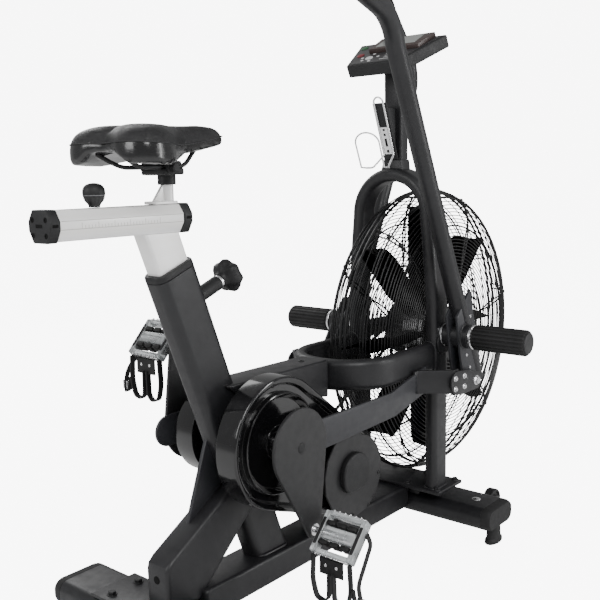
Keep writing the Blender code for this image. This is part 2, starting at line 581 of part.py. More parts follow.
def make_crank_set():
    axis = pivot("crank_axis", CRANK)
    axle = rod("crank_axle", 0.0095, *across(CRANK, -0.1345, 0.1345), STEEL)
    pulley = rod("crank_pulley", 0.070, *across(CRANK, -0.0665, -0.0555), STEEL, 36)
    boss = rod("pulley_boss", 0.013, *across(CRANK, -0.0715, -0.056), None, 20)
    bore = rod("pulley_bore", 0.0098, *across(CRANK, -0.08, -0.05))
    join(pulley, boss)
    cut(pulley, bore)
    for turn in range(3):
        angle = math.radians(120 * turn)
        place = CRANK + Vector((0.042 * math.cos(angle), 0, 0.042 * math.sin(angle)))
        cut(pulley, rod("pulley_window", 0.014, *across(place, -0.08, -0.05), None, 10))
    hang(axis, axle, pulley)
    for side, word, turn in ((RIGHT, "right", CRANK_LEAN), (LEFT, "left", CRANK_LEAN + math.pi)):
        holder = pivot("crank_turn_" + word, CRANK, axis, turn)
        spindle_home = CRANK - Vector((0, 0, CRANK_LENGTH))
        outline = hull(flat(CRANK), 0.072, flat(spindle_home), 0.017, 16)
        crank = plate("crank_" + word, outline, 0.007, side * 0.1385, BLACK_PAINT)
        eccentric = CRANK + Vector((ECCENTRIC * math.cos(turn), 0, ECCENTRIC * math.sin(turn)))
        if side == LEFT:
            eccentric = CRANK + Vector((-ECCENTRIC * math.cos(turn), 0, -ECCENTRIC * math.sin(turn)))
        pin = rod("eccentric_pin", 0.0085, *across(eccentric, side * 0.1325, side * 0.136), None, 16)
        neck = rod("crank_neck", 0.012, *across(CRANK, side * 0.1315, side * 0.1360), None, 20)
        join(crank, neck, pin)
        square = rod("axle_socket", 0.0098, *across(CRANK, side * 0.10, side * 0.1348), None, 20)
        thread = rod("spindle_thread_hole", 0.0073, *across(spindle_home, side * 0.13, side * 0.15), None, 16)
        cut(crank, square, thread)
        hang(holder, crank)
        make_pedal(side, word, spindle_home, holder)
    for side, word in ((RIGHT, "right"), (LEFT, "left")):
        bearing = rod("crank_bearing_" + word, 0.0212, *across(CRANK, side * 0.032, side * 0.046), STEEL)
        cut(bearing, rod("bearing_bore", 0.0098, *across(CRANK, side * 0.03, side * 0.05)))


def make_pedal(side, word, home, crank_turn):
    spindle = rod("pedal_spindle_" + word, 0.0070, *across(home, side * 0.1352, side * 0.1500), STEEL, 16)
    collar = rod("spindle_collar", 0.0120, *across(home, side * 0.1424, side * 0.1500), None, 16)
    shank = rod("spindle_shank", 0.0055, *across(home, side * 0.149, side * 0.236), None, 16)
    join(spindle, collar, shank)
    hang(crank_turn, spindle)
    pitch = math.radians(-47) - (CRANK_LEAN if side == RIGHT else CRANK_LEAN + math.pi)
    axis = pivot("pedal_axis_" + word, home, crank_turn, pitch)
    middle = home + Vector((0, side * 0.200, 0))
    body = box("pedal_" + word, (0.082, 0.092, 0.022), middle, CLEAR_PLASTIC, 0, 0.004)
    for way in (1, -1):
        window = box("pedal_window", (0.020, 0.060, 0.04), middle + Vector((way * 0.024, 0, 0)))
        cut(body, window)
    spindle_way = rod("spindle_way", 0.0063, *across(home, side * 0.14, side * 0.238), None, 16)
    cut(body, spindle_way)
    hang(axis, body)
    half, drop, thin = 0.043, 0.078, 0.003
    band = [(-half, 0), (0.006 - half, -drop * 0.7), (0.024 - half, -drop), (half - 0.024, -drop), (half - 0.006, -drop * 0.7), (half, 0)]
    inside = [(half - thin, 0), (half - 0.006 - thin, -drop * 0.68), (half - 0.025, thin - drop), (0.025 - half, thin - drop),
              (0.006 + thin - half, -drop * 0.68), (thin - half, 0)]
    basket = plate("toe_basket_" + word, band + inside, 0.026, 0, RUBBER, "YZ")
    basket.data.transform(Matrix.Translation(middle + Vector((-0.0510, 0, -0.004))) @ Matrix.Rotation(math.radians(47), 4, "Y"))
    hang(axis, basket)


def make_transmission():
    shaft_axis = pivot("shaft_axis", SHAFT)
    shaft = rod("intermediate_shaft", 0.0090, *across(SHAFT, -0.068, 0.0885), STEEL)
    small = rod("small_pulley", 0.0200, *across(SHAFT, -0.0665, -0.0555))
    large = rod("large_pulley", 0.0500, *across(SHAFT, 0.0800, 0.0885), None, 40)
    join(shaft, small, large)
    hang(shaft_axis, shaft)
    belt("drive_belt", CRANK, 0.070, SHAFT, 0.020, -0.0610)
    belt("fan_belt", SHAFT, 0.050, FAN, 0.0165, 0.0842)


def belt(name, first, first_radius, second, second_radius, place):
    thick = 0.003
    clear = 0.0012
    outside = hull(flat(first), first_radius + clear + thick, flat(second), second_radius + clear + thick, 16)
    inside = hull(flat(first), first_radius + clear, flat(second), second_radius + clear, 16)
    loop = plate(name, outside, 0.0075, place, RUBBER)
    cut(loop, plate(name + "_inside", inside, 0.02, place))


# ---------------------------------------------------------------- fan
def make_fan():
    axle = rod("fan_axle", 0.0060, *across(FAN, -0.1290, 0.1290), STEEL, 16)
    for side in (RIGHT, LEFT):
        join(axle, rod("axle_nut", 0.0110, *across(FAN, side * 0.1245, side * 0.1305), None, 6))
    axis = pivot("fan_axis", FAN)
    wheel = rod("fan_wheel", 0.060, *across(FAN, -0.0300, 0.0300), MATTE_PLASTIC, 24)
    blades = 8
    for turn in range(blades):
        angle = 2 * math.pi * turn / blades
        blade = box("blade", (0.255, 0.092, 0.003), (0.170, 0, 0))
        blade.data.transform(Matrix.Translation(FAN) @ Matrix.Rotation(angle, 4, "Y"))
        join(wheel, blade)
    sleeve = rod("fan_sleeve", 0.0125, *across(FAN, -0.074, 0.0800), None, 20)
    pulley = rod("fan_pulley", 0.0165, *across(FAN, 0.0795, 0.0885), None, 24)
    join(wheel, sleeve, pulley)
    cut(wheel, rod("fan_hub_bore", 0.0064, *across(FAN, -0.2, 0.2), None, 16))
    hang(axis, wheel)
    for side, word in ((RIGHT, "right"), (LEFT, "left")):
        make_guard(side, word)


def ring(name, radius, thick, place, material=None, sides=24):
    shape = bmesh.new()
    rows = []
    for index in range(sides):
        angle = 2 * math.pi * (index + 0.3) / sides
        out = Vector((math.cos(angle), 0, math.sin(angle)))
        point = Vector(place) + out * radius
        row = []
        for corner in range(4):
            turn = 2 * math.pi * corner / 4
            row.append(shape.verts.new(point + out * thick * math.cos(turn) + Vector((0, thick * math.sin(turn), 0))))
        rows.append(row)
    for index in range(sides):
        here, there = rows[index], rows[(index + 1) % sides]
        for corner in range(4):
            shape.faces.new((here[corner], here[(corner + 1) % 4], there[(corner + 1) % 4], there[corner]))
    return from_bmesh(name, shape, material, smooth=True)


def make_guard(side, word):
    """Half of the wire cage: three rings held by spokes."""
    name = "fan_guard_" + word
    rim = ring(name, FAN_RADIUS - 0.004, 0.004, (FAN.x, side * 0.006, FAN.z), BLACK_PAINT)
    shoulder = ring("shoulder", FAN_RADIUS - 0.040, 0.003, (FAN.x, side * (CAGE_HALF - 0.003), FAN.z))
    centre = ring("centre_ring", 0.058, 0.003, (FAN.x, side * (CAGE_HALF - 0.003), FAN.z), None, 24)
    join(rim, shoulder, centre)
    for turn in range(6):
        angle = 2 * math.pi * (turn + 0.5) / 6
        points = []
        for radius, place in ((0.057, CAGE_HALF - 0.003), (FAN_RADIUS - 0.040, CAGE_HALF - 0.003), (FAN_RADIUS - 0.005, 0.007)):
            points.append((FAN.x + radius * math.cos(angle), side * place, FAN.z + radius * math.sin(angle)))
        join(rim, tube("spoke", points, 0.0024, None, 0))


# ---------------------------------------------------------------- handle arms and foot pegs
def arm_path(side, inset=0.0):
    """The arm tube's centre line, from below the pivot up to the bent-back grip."""
    plane, flare = 0.158, 0.045
    bottom, knee = Vector((0.314, 0.365)), Vector((-0.009, 1.069))
    turn_radius, turn_end = 0.110, math.radians(78)
    lean = math.atan2(bottom.x - knee.x, knee.y - bottom.y)
    points = [(bottom.x, side * plane, bottom.y), (knee.x, side * plane, knee.y)]
    centre = knee - turn_radius * Vector((math.cos(lean), math.sin(lean)))
    steps = 8
    for step in range(1, steps + 1):
        angle = lean + (turn_end - lean) * step / steps
        points.append((centre.x + turn_radius * math.cos(angle), side * (plane + flare * 0.35 * step / steps),
                       centre.y + turn_radius * math.sin(angle)))
    last = Vector(points[-1])
    along = Vector((-math.sin(turn_end), side * 0.16, math.cos(turn_end))).normalized()
    points.append(tuple(last + along * (0.215 + inset)))
    return points


def make_arm(side, word):
    turn = 0.0 if side == RIGHT else ARM_SWING
    axis = pivot("arm_axis_" + word, ARM_PIVOT + Vector((0, side * 0.158, 0)), None, turn)
    arm = tube("handle_arm_" + word, arm_path(side), 0.0190, BLACK_PAINT, 1)
    sheet_outline = [(0.205, 0.520), (0.262, 0.575), (0.322, 0.365), (0.262, 0.350), (0.240, 0.365), (0.222, 0.430)]
    sheet = plate("arm_sheet", sheet_outline, 0.006, side * 0.158)
    hub = rod("arm_hub", 0.0265, *across(ARM_PIVOT, side * 0.1270, side * 0.1890), None, 28)
    join(arm, sheet, hub)
    bore = rod("hub_bore", 0.0117, *across(ARM_PIVOT, side * 0.11, side * 0.21))
    hollow = tube("arm_hollow", arm_path(side, 0.02)[1:], 0.0160, None, 1)
    pin_hole = rod("pin_hole", 0.0063, *across(LEVER_PIN, side * 0.13, side * 0.19), None, 16)
    cut(arm, bore, hollow, pin_hole)
    grip_end = Vector(arm_path(side)[-1])
    knee = Vector(arm_path(side)[-2])
    along = (grip_end - knee).normalized()
    grip = rod("grip_" + word, 0.0215, grip_end - along * 0.115, grip_end + along * 0.006, RUBBER, 20)
    cut(grip, rod("grip_bore", 0.0194, grip_end - along * 0.12, grip_end + along * 0.0005, None, 20))
    hang(axis, arm, grip)
    make_link(side, word, axis)
    make_peg(side, word)


def make_link(side, word, arm_axis):
    turn = 0.0 if side == RIGHT else -LINK_TURN
    home = LEVER_PIN + Vector((0, side * 0.158, 0))
    axis = pivot("link_axis_" + word, home, arm_axis, turn)
    crank_end = CRANK + Vector((ECCENTRIC, 0, 0))
    rear_end = arc((crank_end.x - 0.033, 0.356), 0.030, 90, 270, 8)
    outline = rear_end + [(0.030, 0.334), (0.150, 0.361), (0.150, 0.417), (0.017, 0.386)]
    link = plate("link_rod_" + word, outline, 0.006, side * 0.1270, BLACK_PAINT)
    slot = hull((crank_end.x - 0.040, 0.3575), 0.0176, (crank_end.x + 0.040, 0.3575), 0.0175, 8)
    jog = box("link_jog", (0.030, 0.066, 0.050), (0.140, side * 0.1560, 0.388))
    ear_outline = [(0.128, 0.411), (0.215, 0.405)] + arc((LEVER_PIN.x, LEVER_PIN.z), 0.020, 80, -100, 10) + [(0.205, 0.352), (0.128, 0.363)]
    ear = plate("link_ear", ear_outline, 0.006, side * 0.1860)
    pin = rod("link_pin", 0.0060, *across(LEVER_PIN, side * 0.1465, side * 0.1895), None, 16)
    join(link, jog, ear, pin)
    for y in (-0.012, 0.012):
        cut(link, rod("jog_hole", 0.003, (0.10, side * 0.156 + y, 0.388), (0.18, side * 0.156 + y, 0.388), None, 8))
    cut(link, plate("link_slot", slot, 0.02, side * 0.1270))
    hang(axis, link)


def make_peg(side, word):
    flange = rod("pivot_axle_" + word, 0.0260, *across(ARM_PIVOT, side * 0.1264, side * 0.1244), STEEL, 20)
    shaft = rod("peg_shaft", 0.0110, *across(ARM_PIVOT, side * 0.095, side * 0.200))
    core = rod("peg_core", 0.0180, *across(ARM_PIVOT, side * 0.1905, side * 0.3180))
    collar = rod("peg_collar", 0.0270, *across(ARM_PIVOT, side * 0.1905, side * 0.1965))
    join(flange, shaft, core, collar)
    sleeve = rod("foot_peg_" + word, 0.0280, *across(ARM_PIVOT, side * 0.1970, side * PEG_END), RUBBER, 28)
    cut(sleeve, rod("peg_bore", 0.0183, *across(ARM_PIVOT, side * 0.19, side * 0.3185)))


# ---------------------------------------------------------------- console and bottle cage
def make_console():
    turn = Matrix.Translation(CONSOLE_PLACE) @ Matrix.Rotation(CONSOLE_TILT, 4, "Y")
    outline = [(-0.067, -0.069), (0.067, -0.113), (0.067, 0.113), (-0.067, 0.069)]
    housing = plate("console_housing", outline, CONSOLE_THICK, 0, MATTE_PLASTIC, "XY", 0.003)
    housing.data.transform(turn)
    display = box("display", (0.068, 0.131, 0.012), turn @ Vector((0.029, -0.0205, 0.0190)), None, CONSOLE_TILT, 0.0015, 1)
    screen = box("screen_recess", (0.050, 0.095, 0.004), turn @ Vector((0.027, -0.0205, 0.0255)), None, CONSOLE_TILT)
    join(housing, display)
    cut(housing, screen)
    up = turn.to_3x3() @ Vector((0, 0, 1))
    for word, across_x, across_y in (("start", 0.037, 0.084), ("stop", -0.012, 0.064), ("mode", -0.036, 0.026)):
        place = turn @ Vector((across_x, across_y, CONSOLE_THICK / 2))
        well = rod("button_well", 0.0095, place - up * 0.004, place + up * 0.002, None, 20)
        cut(housing, well)
        axis = pivot(word + "_button_axis", place)
        button = rod(word + "_button", 0.0088, place - up * 0.0015, place + up * 0.0025, MATTE_PLASTIC, 20)
        hang(axis, button)


def make_bottle_cage():
    x = LEG_X - 0.0153
    back = box("bottle_cage", (0.003, 0.018, 0.150), (x - 0.0015, 0.0, 0.950), ALUMINIUM)
    shelf = box("cage_shelf", (0.070, 0.018, 0.003), (x - 0.036, 0.0, 0.8765))
    lip = box("cage_lip", (0.003, 0.018, 0.024), (x - 0.070, 0.0, 0.887))
    hoop = ring("cage_hoop", 0.036, 0.0025, (0, 0, 0), None, 28)
    hoop.data.transform(Matrix.Translation((x - 0.0395, 0, 0.985)) @ Matrix.Rotation(math.radians(90), 4, "X"))
    join(back, shelf, lip, hoop)


def main():
    make_main_frame()
    make_front_frame()
    make_mast()
    make_stabilisers()
    make_wheels()
    make_seat()
    make_cases()
    make_crank_set()
    make_transmission()
    make_fan()
    for side, word in ((RIGHT, "right"), (LEFT, "left")):
        make_arm(side, word)
    make_console()
    make_bottle_cage()


main()
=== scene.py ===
"""Air bike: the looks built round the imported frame. Metres, +X forward, +Y to the rider's left, +Z up."""
import json
import math

import bmesh
import bpy
from mathutils import Matrix, Vector


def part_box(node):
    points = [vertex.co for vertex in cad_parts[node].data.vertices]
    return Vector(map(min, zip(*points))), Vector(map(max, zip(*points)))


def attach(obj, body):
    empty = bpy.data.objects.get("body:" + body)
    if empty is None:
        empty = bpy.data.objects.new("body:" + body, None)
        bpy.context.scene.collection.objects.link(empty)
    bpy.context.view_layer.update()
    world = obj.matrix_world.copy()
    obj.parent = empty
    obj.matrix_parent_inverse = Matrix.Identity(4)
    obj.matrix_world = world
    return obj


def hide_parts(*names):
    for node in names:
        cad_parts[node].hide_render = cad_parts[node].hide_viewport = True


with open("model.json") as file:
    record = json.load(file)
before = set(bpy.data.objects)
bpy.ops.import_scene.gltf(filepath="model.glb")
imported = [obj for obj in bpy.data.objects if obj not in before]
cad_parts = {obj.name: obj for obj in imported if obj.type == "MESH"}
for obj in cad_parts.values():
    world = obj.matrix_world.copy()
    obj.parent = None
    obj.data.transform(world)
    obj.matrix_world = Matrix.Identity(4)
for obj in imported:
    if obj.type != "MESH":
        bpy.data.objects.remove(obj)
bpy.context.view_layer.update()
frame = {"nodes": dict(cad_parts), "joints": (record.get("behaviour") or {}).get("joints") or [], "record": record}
RIGHT, LEFT = -1, 1
SIDES = ((RIGHT, "right"), (LEFT, "left"))
X, Y, Z = Vector((1, 0, 0)), Vector((0, 1, 0)), Vector((0, 0, 1))


def joint_place(name):
    return Vector(next(j["pos_m"] for j in frame["joints"] if j["name"] == name))


CRANK = joint_place("crank_spin")
SHAFT = joint_place("shaft_spin")
FAN = joint_place("fan_spin")
ARM_PIVOT = joint_place("arm_right_swing")
LEVER_PIN = joint_place("link_right_pin")
LEVER_PIN.y = 0
PEDAL_RIGHT = joint_place("pedal_right_spin")
PEDAL_LEFT = joint_place("pedal_left_spin")
CRANK_LENGTH = 0.166
CRANK_LEAN = math.radians(-11.5)
ARM_SWING = math.radians(50)
LINK_TURN = math.radians(52.07)
LEG_X, LEG_Y, LEG_DEEP, LEG_THICK = 0.2325, 0.105, 0.060, 0.030
LEG_FOOT = 0.1185
LOOP_Z, LOOP_REAR, LOOP_CORNER = 0.425, -0.056, 0.103
ARM_PLANE = 0.158
SADDLE_STRETCH = 0.865
ARCH_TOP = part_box("front_frame")[1].z
ARCH_HALF = 0.0900
SEAT_LEAN = math.radians(20.8)
TUBE_TOP, KNOB_UP = 0.602, 0.537
SEAT_FOOT = Vector((-0.2375, 0, 0.110))
RAIL_Z, RAIL_FRONT = 0.765, -0.4385
RAIL_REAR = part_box("slider_rail")[0].x
SADDLE_X, SADDLE_Z, STUB_X = -0.492, 0.848, -0.450
CONSOLE = Matrix.Translation((0.206, 0, 1.081)) @ Matrix.Rotation(math.radians(-26.5), 4, "Y")


# ---------------------------------------------------------------- materials
def tree(name):
    made = bpy.data.materials.new(name)
    made.use_nodes = True
    return made, made.node_tree.nodes, made.node_tree.links, made.node_tree.nodes["Principled BSDF"]


def noise(nodes, links, scale, detail=4.0, stretch=None):
    place = nodes.new("ShaderNodeTexCoord")
    made = nodes.new("ShaderNodeTexNoise")
    made.inputs["Scale"].default_value = scale
    made.inputs["Detail"].default_value = detail
    if stretch:
        mapping = nodes.new("ShaderNodeMapping")
        mapping.inputs["Scale"].default_value = stretch
        links.new(place.outputs["Object"], mapping.inputs["Vector"])
        links.new(mapping.outputs["Vector"], made.inputs["Vector"])
    else:
        links.new(place.outputs["Object"], made.inputs["Vector"])
    return made.outputs["Fac"]


def ramp(nodes, links, source, low, high, start=0.3, end=0.7):
    made = nodes.new("ShaderNodeMapRange")
    made.inputs["From Min"].default_value = start
    made.inputs["From Max"].default_value = end
    made.inputs["To Min"].default_value = low
    made.inputs["To Max"].default_value = high
    links.new(source, made.inputs["Value"])
    return made.outputs["Result"]


def mix(nodes, links, factor, first, second):
    made = nodes.new("ShaderNodeMix")
    made.data_type = "RGBA"
    for socket, value in ((made.inputs["Factor"], factor), (made.inputs["A"], first),
                          (made.inputs["B"], second)):
        if isinstance(value, bpy.types.NodeSocket):
            links.new(value, socket)
        elif isinstance(value, (float, int)):
            socket.default_value = value
        else:
            socket.default_value = (*value, 1)
    return made.outputs["Result"]


def surface(name, colour, rough, metallic=0.0, grain=0.0, grain_scale=900.0, dust=0.0,
            wear=0.0, edge=0.0012,
            coat=0.0, stretch=None, vary=0.06, kind="noise", specular=0.5):
    """A finish with colour drift, rough patches, fine relief, rounded edges and lighter worn edges."""
    made, nodes, links, shader = tree(name)
    shader.inputs["Metallic"].default_value = metallic
    shader.inputs["Coat Weight"].default_value = coat
    shader.inputs["Coat Roughness"].default_value = 0.06
    shader.inputs["Specular IOR Level"].default_value = specular
    broad = noise(nodes, links, 14.0, 3.0, stretch)
    pale = tuple(min(1.0, c * (1 + 3.0 * vary) + 0.02 * dust) for c in colour)
    tone = mix(nodes, links, ramp(nodes, links, broad, 0.0, 1.0), colour, pale)
    normal = None
    if edge:
        bevel = nodes.new("ShaderNodeBevel")
        bevel.samples = 4
        bevel.inputs["Radius"].default_value = edge
        normal = bevel.outputs["Normal"]
    if wear:
        plain = nodes.new("ShaderNodeNewGeometry")
        dot = nodes.new("ShaderNodeVectorMath")
        dot.operation = "DOT_PRODUCT"
        links.new(normal, dot.inputs[0])
        links.new(plain.outputs["Normal"], dot.inputs[1])
        worn = ramp(nodes, links, dot.outputs["Value"], wear, 0.0, 0.80, 0.99)
        tone = mix(nodes, links, worn, tone, tuple(min(1.0, c * 3 + 0.10) for c in colour))
    links.new(tone, shader.inputs["Base Color"])
    patch = noise(nodes, links, 55.0, 5.0, stretch)
    links.new(ramp(nodes, links, patch, max(0.02, rough - 0.06), min(1.0, rough + 0.08)),
              shader.inputs["Roughness"])
    if grain:
        if kind == "cells":
            place = nodes.new("ShaderNodeTexCoord")
            fine_node = nodes.new("ShaderNodeTexVoronoi")
            fine_node.feature = "DISTANCE_TO_EDGE"
            fine_node.inputs["Scale"].default_value = grain_scale
            links.new(place.outputs["Object"], fine_node.inputs["Vector"])
            fine = ramp(nodes, links, fine_node.outputs["Distance"], 0.0, 1.0, 0.0, 0.25)
        else:
            fine = noise(nodes, links, grain_scale, 3.0, stretch)
        bump = nodes.new("ShaderNodeBump")
        bump.inputs["Strength"].default_value = grain
        bump.inputs["Distance"].default_value = 0.0006
        links.new(fine, bump.inputs["Height"])
        if normal:
            links.new(normal, bump.inputs["Normal"])
        normal = bump.outputs["Normal"]
    if normal:
        links.new(normal, shader.inputs["Normal"])
    return made


PAINT = surface("black_powder_coat", (0.0105, 0.0105, 0.0120), 0.40, grain=0.16, grain_scale=1300, dust=0.1,
                wear=0.06, edge=0.0016, specular=0.45)
PAINT_GREY = surface("grey_powder_coat", (0.022, 0.0225, 0.026), 0.44, grain=0.18, grain_scale=1300,
                     dust=0.1, wear=0.06, edge=0.0012, specular=0.45)
WIRE = surface("wire_enamel", (0.005, 0.005, 0.0055), 0.34, grain=0.0, edge=0.0, vary=0.2, specular=0.4)
GLOSS = surface("gloss_case", (0.0040, 0.0040, 0.0045), 0.12, grain=0.02, grain_scale=300, coat=0.35,
                edge=0.0015, vary=0.1)
MATTE = surface("matte_moulding", (0.0085, 0.0087, 0.0095), 0.50, grain=0.35, grain_scale=1500, edge=0.0012,
                wear=0.04, specular=0.4)
COVER = surface("cover_moulding", (0.0150, 0.0150, 0.0158), 0.50, grain=0.22, grain_scale=1600,
                edge=0.0012, specular=0.45)
RUBBER = surface("black_rubber", (0.0085, 0.0085, 0.0088), 0.62, grain=0.30, grain_scale=1100, dust=0.2,
                 edge=0.0009, vary=0.15, specular=0.35)
FOAM = surface("grip_foam", (0.010, 0.010, 0.0105), 0.86, grain=0.9, grain_scale=1700,
               edge=0.0, specular=0.3)
BLADE = surface("fan_blade_paint", (0.007, 0.007, 0.008), 0.42, grain=0.12, grain_scale=700, dust=0.3,
                vary=0.3, specular=0.35)
STEEL = surface("bright_steel", (0.70, 0.70, 0.71), 0.22, 1.0, grain=0.10, grain_scale=260,
                stretch=(1, 1, 6), edge=0.0006)
CHROME = surface("satin_post", (0.92, 0.91, 0.89), 0.34, 0.20, grain=0.05, grain_scale=120,
                 stretch=(1, 1, 4), edge=0.0010)
ALU = surface("satin_aluminium", (0.92, 0.905, 0.87), 0.34, 0.15, grain=0.16, grain_scale=320,
              stretch=(0.12, 6, 6), edge=0.0008)
STRAP_METAL = surface("cage_aluminium", (0.80, 0.80, 0.81), 0.24, 0.7, grain=0.10, grain_scale=300,
                      stretch=(6, 6, 1), edge=0.0006)
VINYL = surface("saddle_top_vinyl", (0.0085, 0.0085, 0.0092), 0.38, grain=0.45, grain_scale=620,
                kind="cells", edge=0.0, vary=0.1, specular=0.4)
VINYL_SIDE = surface("saddle_side_vinyl", (0.0060, 0.0060, 0.0065), 0.18, grain=0.10, grain_scale=500,
                     kind="cells", edge=0.0, coat=0.35)
THREAD = surface("seam_thread", (0.020, 0.020, 0.021), 0.7, grain=0.4, grain_scale=2500, edge=0.0)
# Near-black painted shade for holes, slots and recesses: the darkness that falls inside them, not a colour of the
# part.
HOLE_SHADE = surface("painted_hole_shade", (0.002, 0.002, 0.002), 0.8, edge=0.0, specular=0.2)
PANEL = surface("console_panel", (0.030, 0.030, 0.032), 0.34, grain=0.05, grain_scale=900, edge=0.0006)
BAND = surface("grey_band", (0.16, 0.16, 0.17), 0.40, grain=0.05, grain_scale=900, edge=0.0006)
SCREEN = surface("console_screen", (0.20, 0.21, 0.20), 0.14, coat=0.5, edge=0.0, grain=0.02)
LEDGE = surface("display_moulding", (0.040, 0.026, 0.024), 0.35, grain=0.2, grain_scale=1200, edge=0.0010)
MARK = surface("print_white", (0.62, 0.62, 0.62), 0.5, edge=0.0)
# Grey used both for the printed scale ticks and, on the rail's side, as painted shade in the grooves.
PRINT_AND_GROOVE_SHADE = surface("print_and_painted_groove_shade", (0.50, 0.49, 0.47), 0.5, edge=0.0)
RED = surface("red_key", (0.16, 0.022, 0.028), 0.40, grain=0.1, edge=0.0006)
GREEN = surface("green_key", (0.03, 0.10, 0.045), 0.40, grain=0.1, edge=0.0006)
KEY = surface("grey_key", (0.55, 0.55, 0.55), 0.40, grain=0.1, edge=0.0006)
WELD = surface("weld_bead", (0.012, 0.012, 0.014), 0.42, grain=0.5, grain_scale=420, edge=0.0)


def clear_plastic():
    made, nodes, links, shader = tree("clear_polycarbonate")
    shader.inputs["Base Color"].default_value = (0.86, 0.89, 0.90, 1)
    shader.inputs["IOR"].default_value = 1.5
    patch = noise(nodes, links, 120.0, 4.0)
    links.new(ramp(nodes, links, patch, 0.03, 0.16), shader.inputs["Roughness"])
    links.new(ramp(nodes, links, noise(nodes, links, 40.0), 0.62, 0.80),
              shader.inputs["Transmission Weight"])
    return made


CLEAR = clear_plastic()


# ---------------------------------------------------------------- shape helpers: each returns a bmesh
def cuboid(size, place=(0, 0, 0), turn=None, r=0.0, seg=3):
    b = bmesh.new()
    bmesh.ops.create_cube(b, size=1)
    bmesh.ops.scale(b, vec=size, verts=b.verts)
    if r:
        bmesh.ops.bevel(b, geom=b.edges[:], offset=r, segments=seg, affect="EDGES", profile=0.5)
    b.transform(Matrix.Translation(place) @ (turn.to_4x4() if turn else Matrix()))
    return b


def lean(angle):
    return Matrix.Rotation(angle, 4, "Y")


def turned(profile, place, axis, sides=48):
    """A solid of revolution from (radius, height) points, top to bottom."""
    b = bmesh.new()
    rows = []
    for radius, height in profile:
        if radius < 1e-6:
            rows.append([b.verts.new((0, 0, height))])
        else:
            rows.append([b.verts.new((radius * math.cos(2 * math.pi * i / sides),
                                      radius * math.sin(2 * math.pi * i / sides), height))
                         for i in range(sides)])
    for here, there in zip(rows, rows[1:]):
        for i in range(sides):
            j = (i + 1) % sides
            corners = [here[i % len(here)], here[j % len(here)], there[j % len(there)],
                       there[i % len(there)]]
            corners = [v for k, v in enumerate(corners) if v not in corners[:k]]
            if len(corners) > 2:
                b.faces.new(corners)
    for row in (rows[0], rows[-1]):
        if len(row) > 2:
            b.faces.new(row)
    b.transform(Matrix.Translation(place) @ Z.rotation_difference(Vector(axis)).to_matrix().to_4x4())
    return b


def bar(radius, start, end, sides=40):
    """A round bar with its end edges rounded."""
    start, end = Vector(start), Vector(end)
    length = (end - start).length
    soft = min(0.0008, radius * 0.4, length * 0.3)
    profile = [(0, length), (radius - soft, length), (radius, length - soft), (radius, soft),
               (radius - soft, 0), (0, 0)]
    return turned(profile, start, end - start, sides)


def around(centre, radius, angle):
    """The place on a circle round centre that faces sideways."""
    return Vector(centre) + X * radius * math.cos(angle) + Z * radius * math.sin(angle)


def across(place, start, end):
    return Vector(place) + Y * start, Vector(place) + Y * end


def slab(outline, thickness, middle, plane="XZ", r=0.0, seg=3):
    """A flat sheet cut to an outline, its rim edges rounded."""
    b = bmesh.new()
    half = thickness / 2
    bottom = [b.verts.new((x, y, -half)) for x, y in outline]
    top = [b.verts.new((x, y, half)) for x, y in outline]
    first, second = b.faces.new(bottom[::-1]), b.faces.new(top)
    n = len(outline)
    for i in range(n):
        b.faces.new((bottom[i], bottom[(i + 1) % n], top[(i + 1) % n], top[i]))
    b.normal_update()
    if r:
        rims = list(first.edges) + list(second.edges)
        rims += [e for e in b.edges
                 if e not in rims and len(e.link_faces) == 2 and e.calc_face_angle() > 0.6]
        bmesh.ops.bevel(b, geom=rims, offset=r, segments=seg, affect="EDGES", profile=0.5,
                        clamp_overlap=True)
    turns = {"XZ": Matrix(((1, 0, 0, 0), (0, 0, 1, middle), (0, 1, 0, 0), (0, 0, 0, 1))),
             "YZ": Matrix(((0, 0, 1, middle), (1, 0, 0, 0), (0, 1, 0, 0), (0, 0, 0, 1))),
             "XY": Matrix.Translation((0, 0, middle))}
    b.transform(turns[plane])
    return b


def arc(middle, radius, start, end, steps):
    turns = [math.radians(start + (end - start) * i / steps) for i in range(steps + 1)]
    return [(middle[0] + radius * math.cos(a), middle[1] + radius * math.sin(a)) for a in turns]


def hull(first, r1, second, r2, steps=32):
    dx, dy = second[0] - first[0], second[1] - first[1]
    along = math.degrees(math.atan2(dy, dx))
    part = math.degrees(math.asin((r1 - r2) / math.hypot(dx, dy)))
    return arc(first, r1, along + 90 - part, along + 270 + part, steps) + arc(second, r2, along - 90 + part,
                                                                              along + 90 - part, steps)


def flat(v):
    return (v.x, v.z)


def rounded(points, radius, steps=8):
    """The same open polyline with each inner corner turned into an arc."""
    points = [Vector(p) for p in points]
    out = [points[0]]
    for before, here, after in zip(points, points[1:], points[2:]):
        a, c = (before - here), (after - here)
        cut = min(radius, a.length * 0.45, c.length * 0.45)
        p, q = here + a.normalized() * cut, here + c.normalized() * cut
        for i in range(steps + 1):
            t = i / steps
            out.append(p * (1 - t) ** 2 + here * 2 * t * (1 - t) + q * t ** 2)
    out.append(points[-1])
    return out


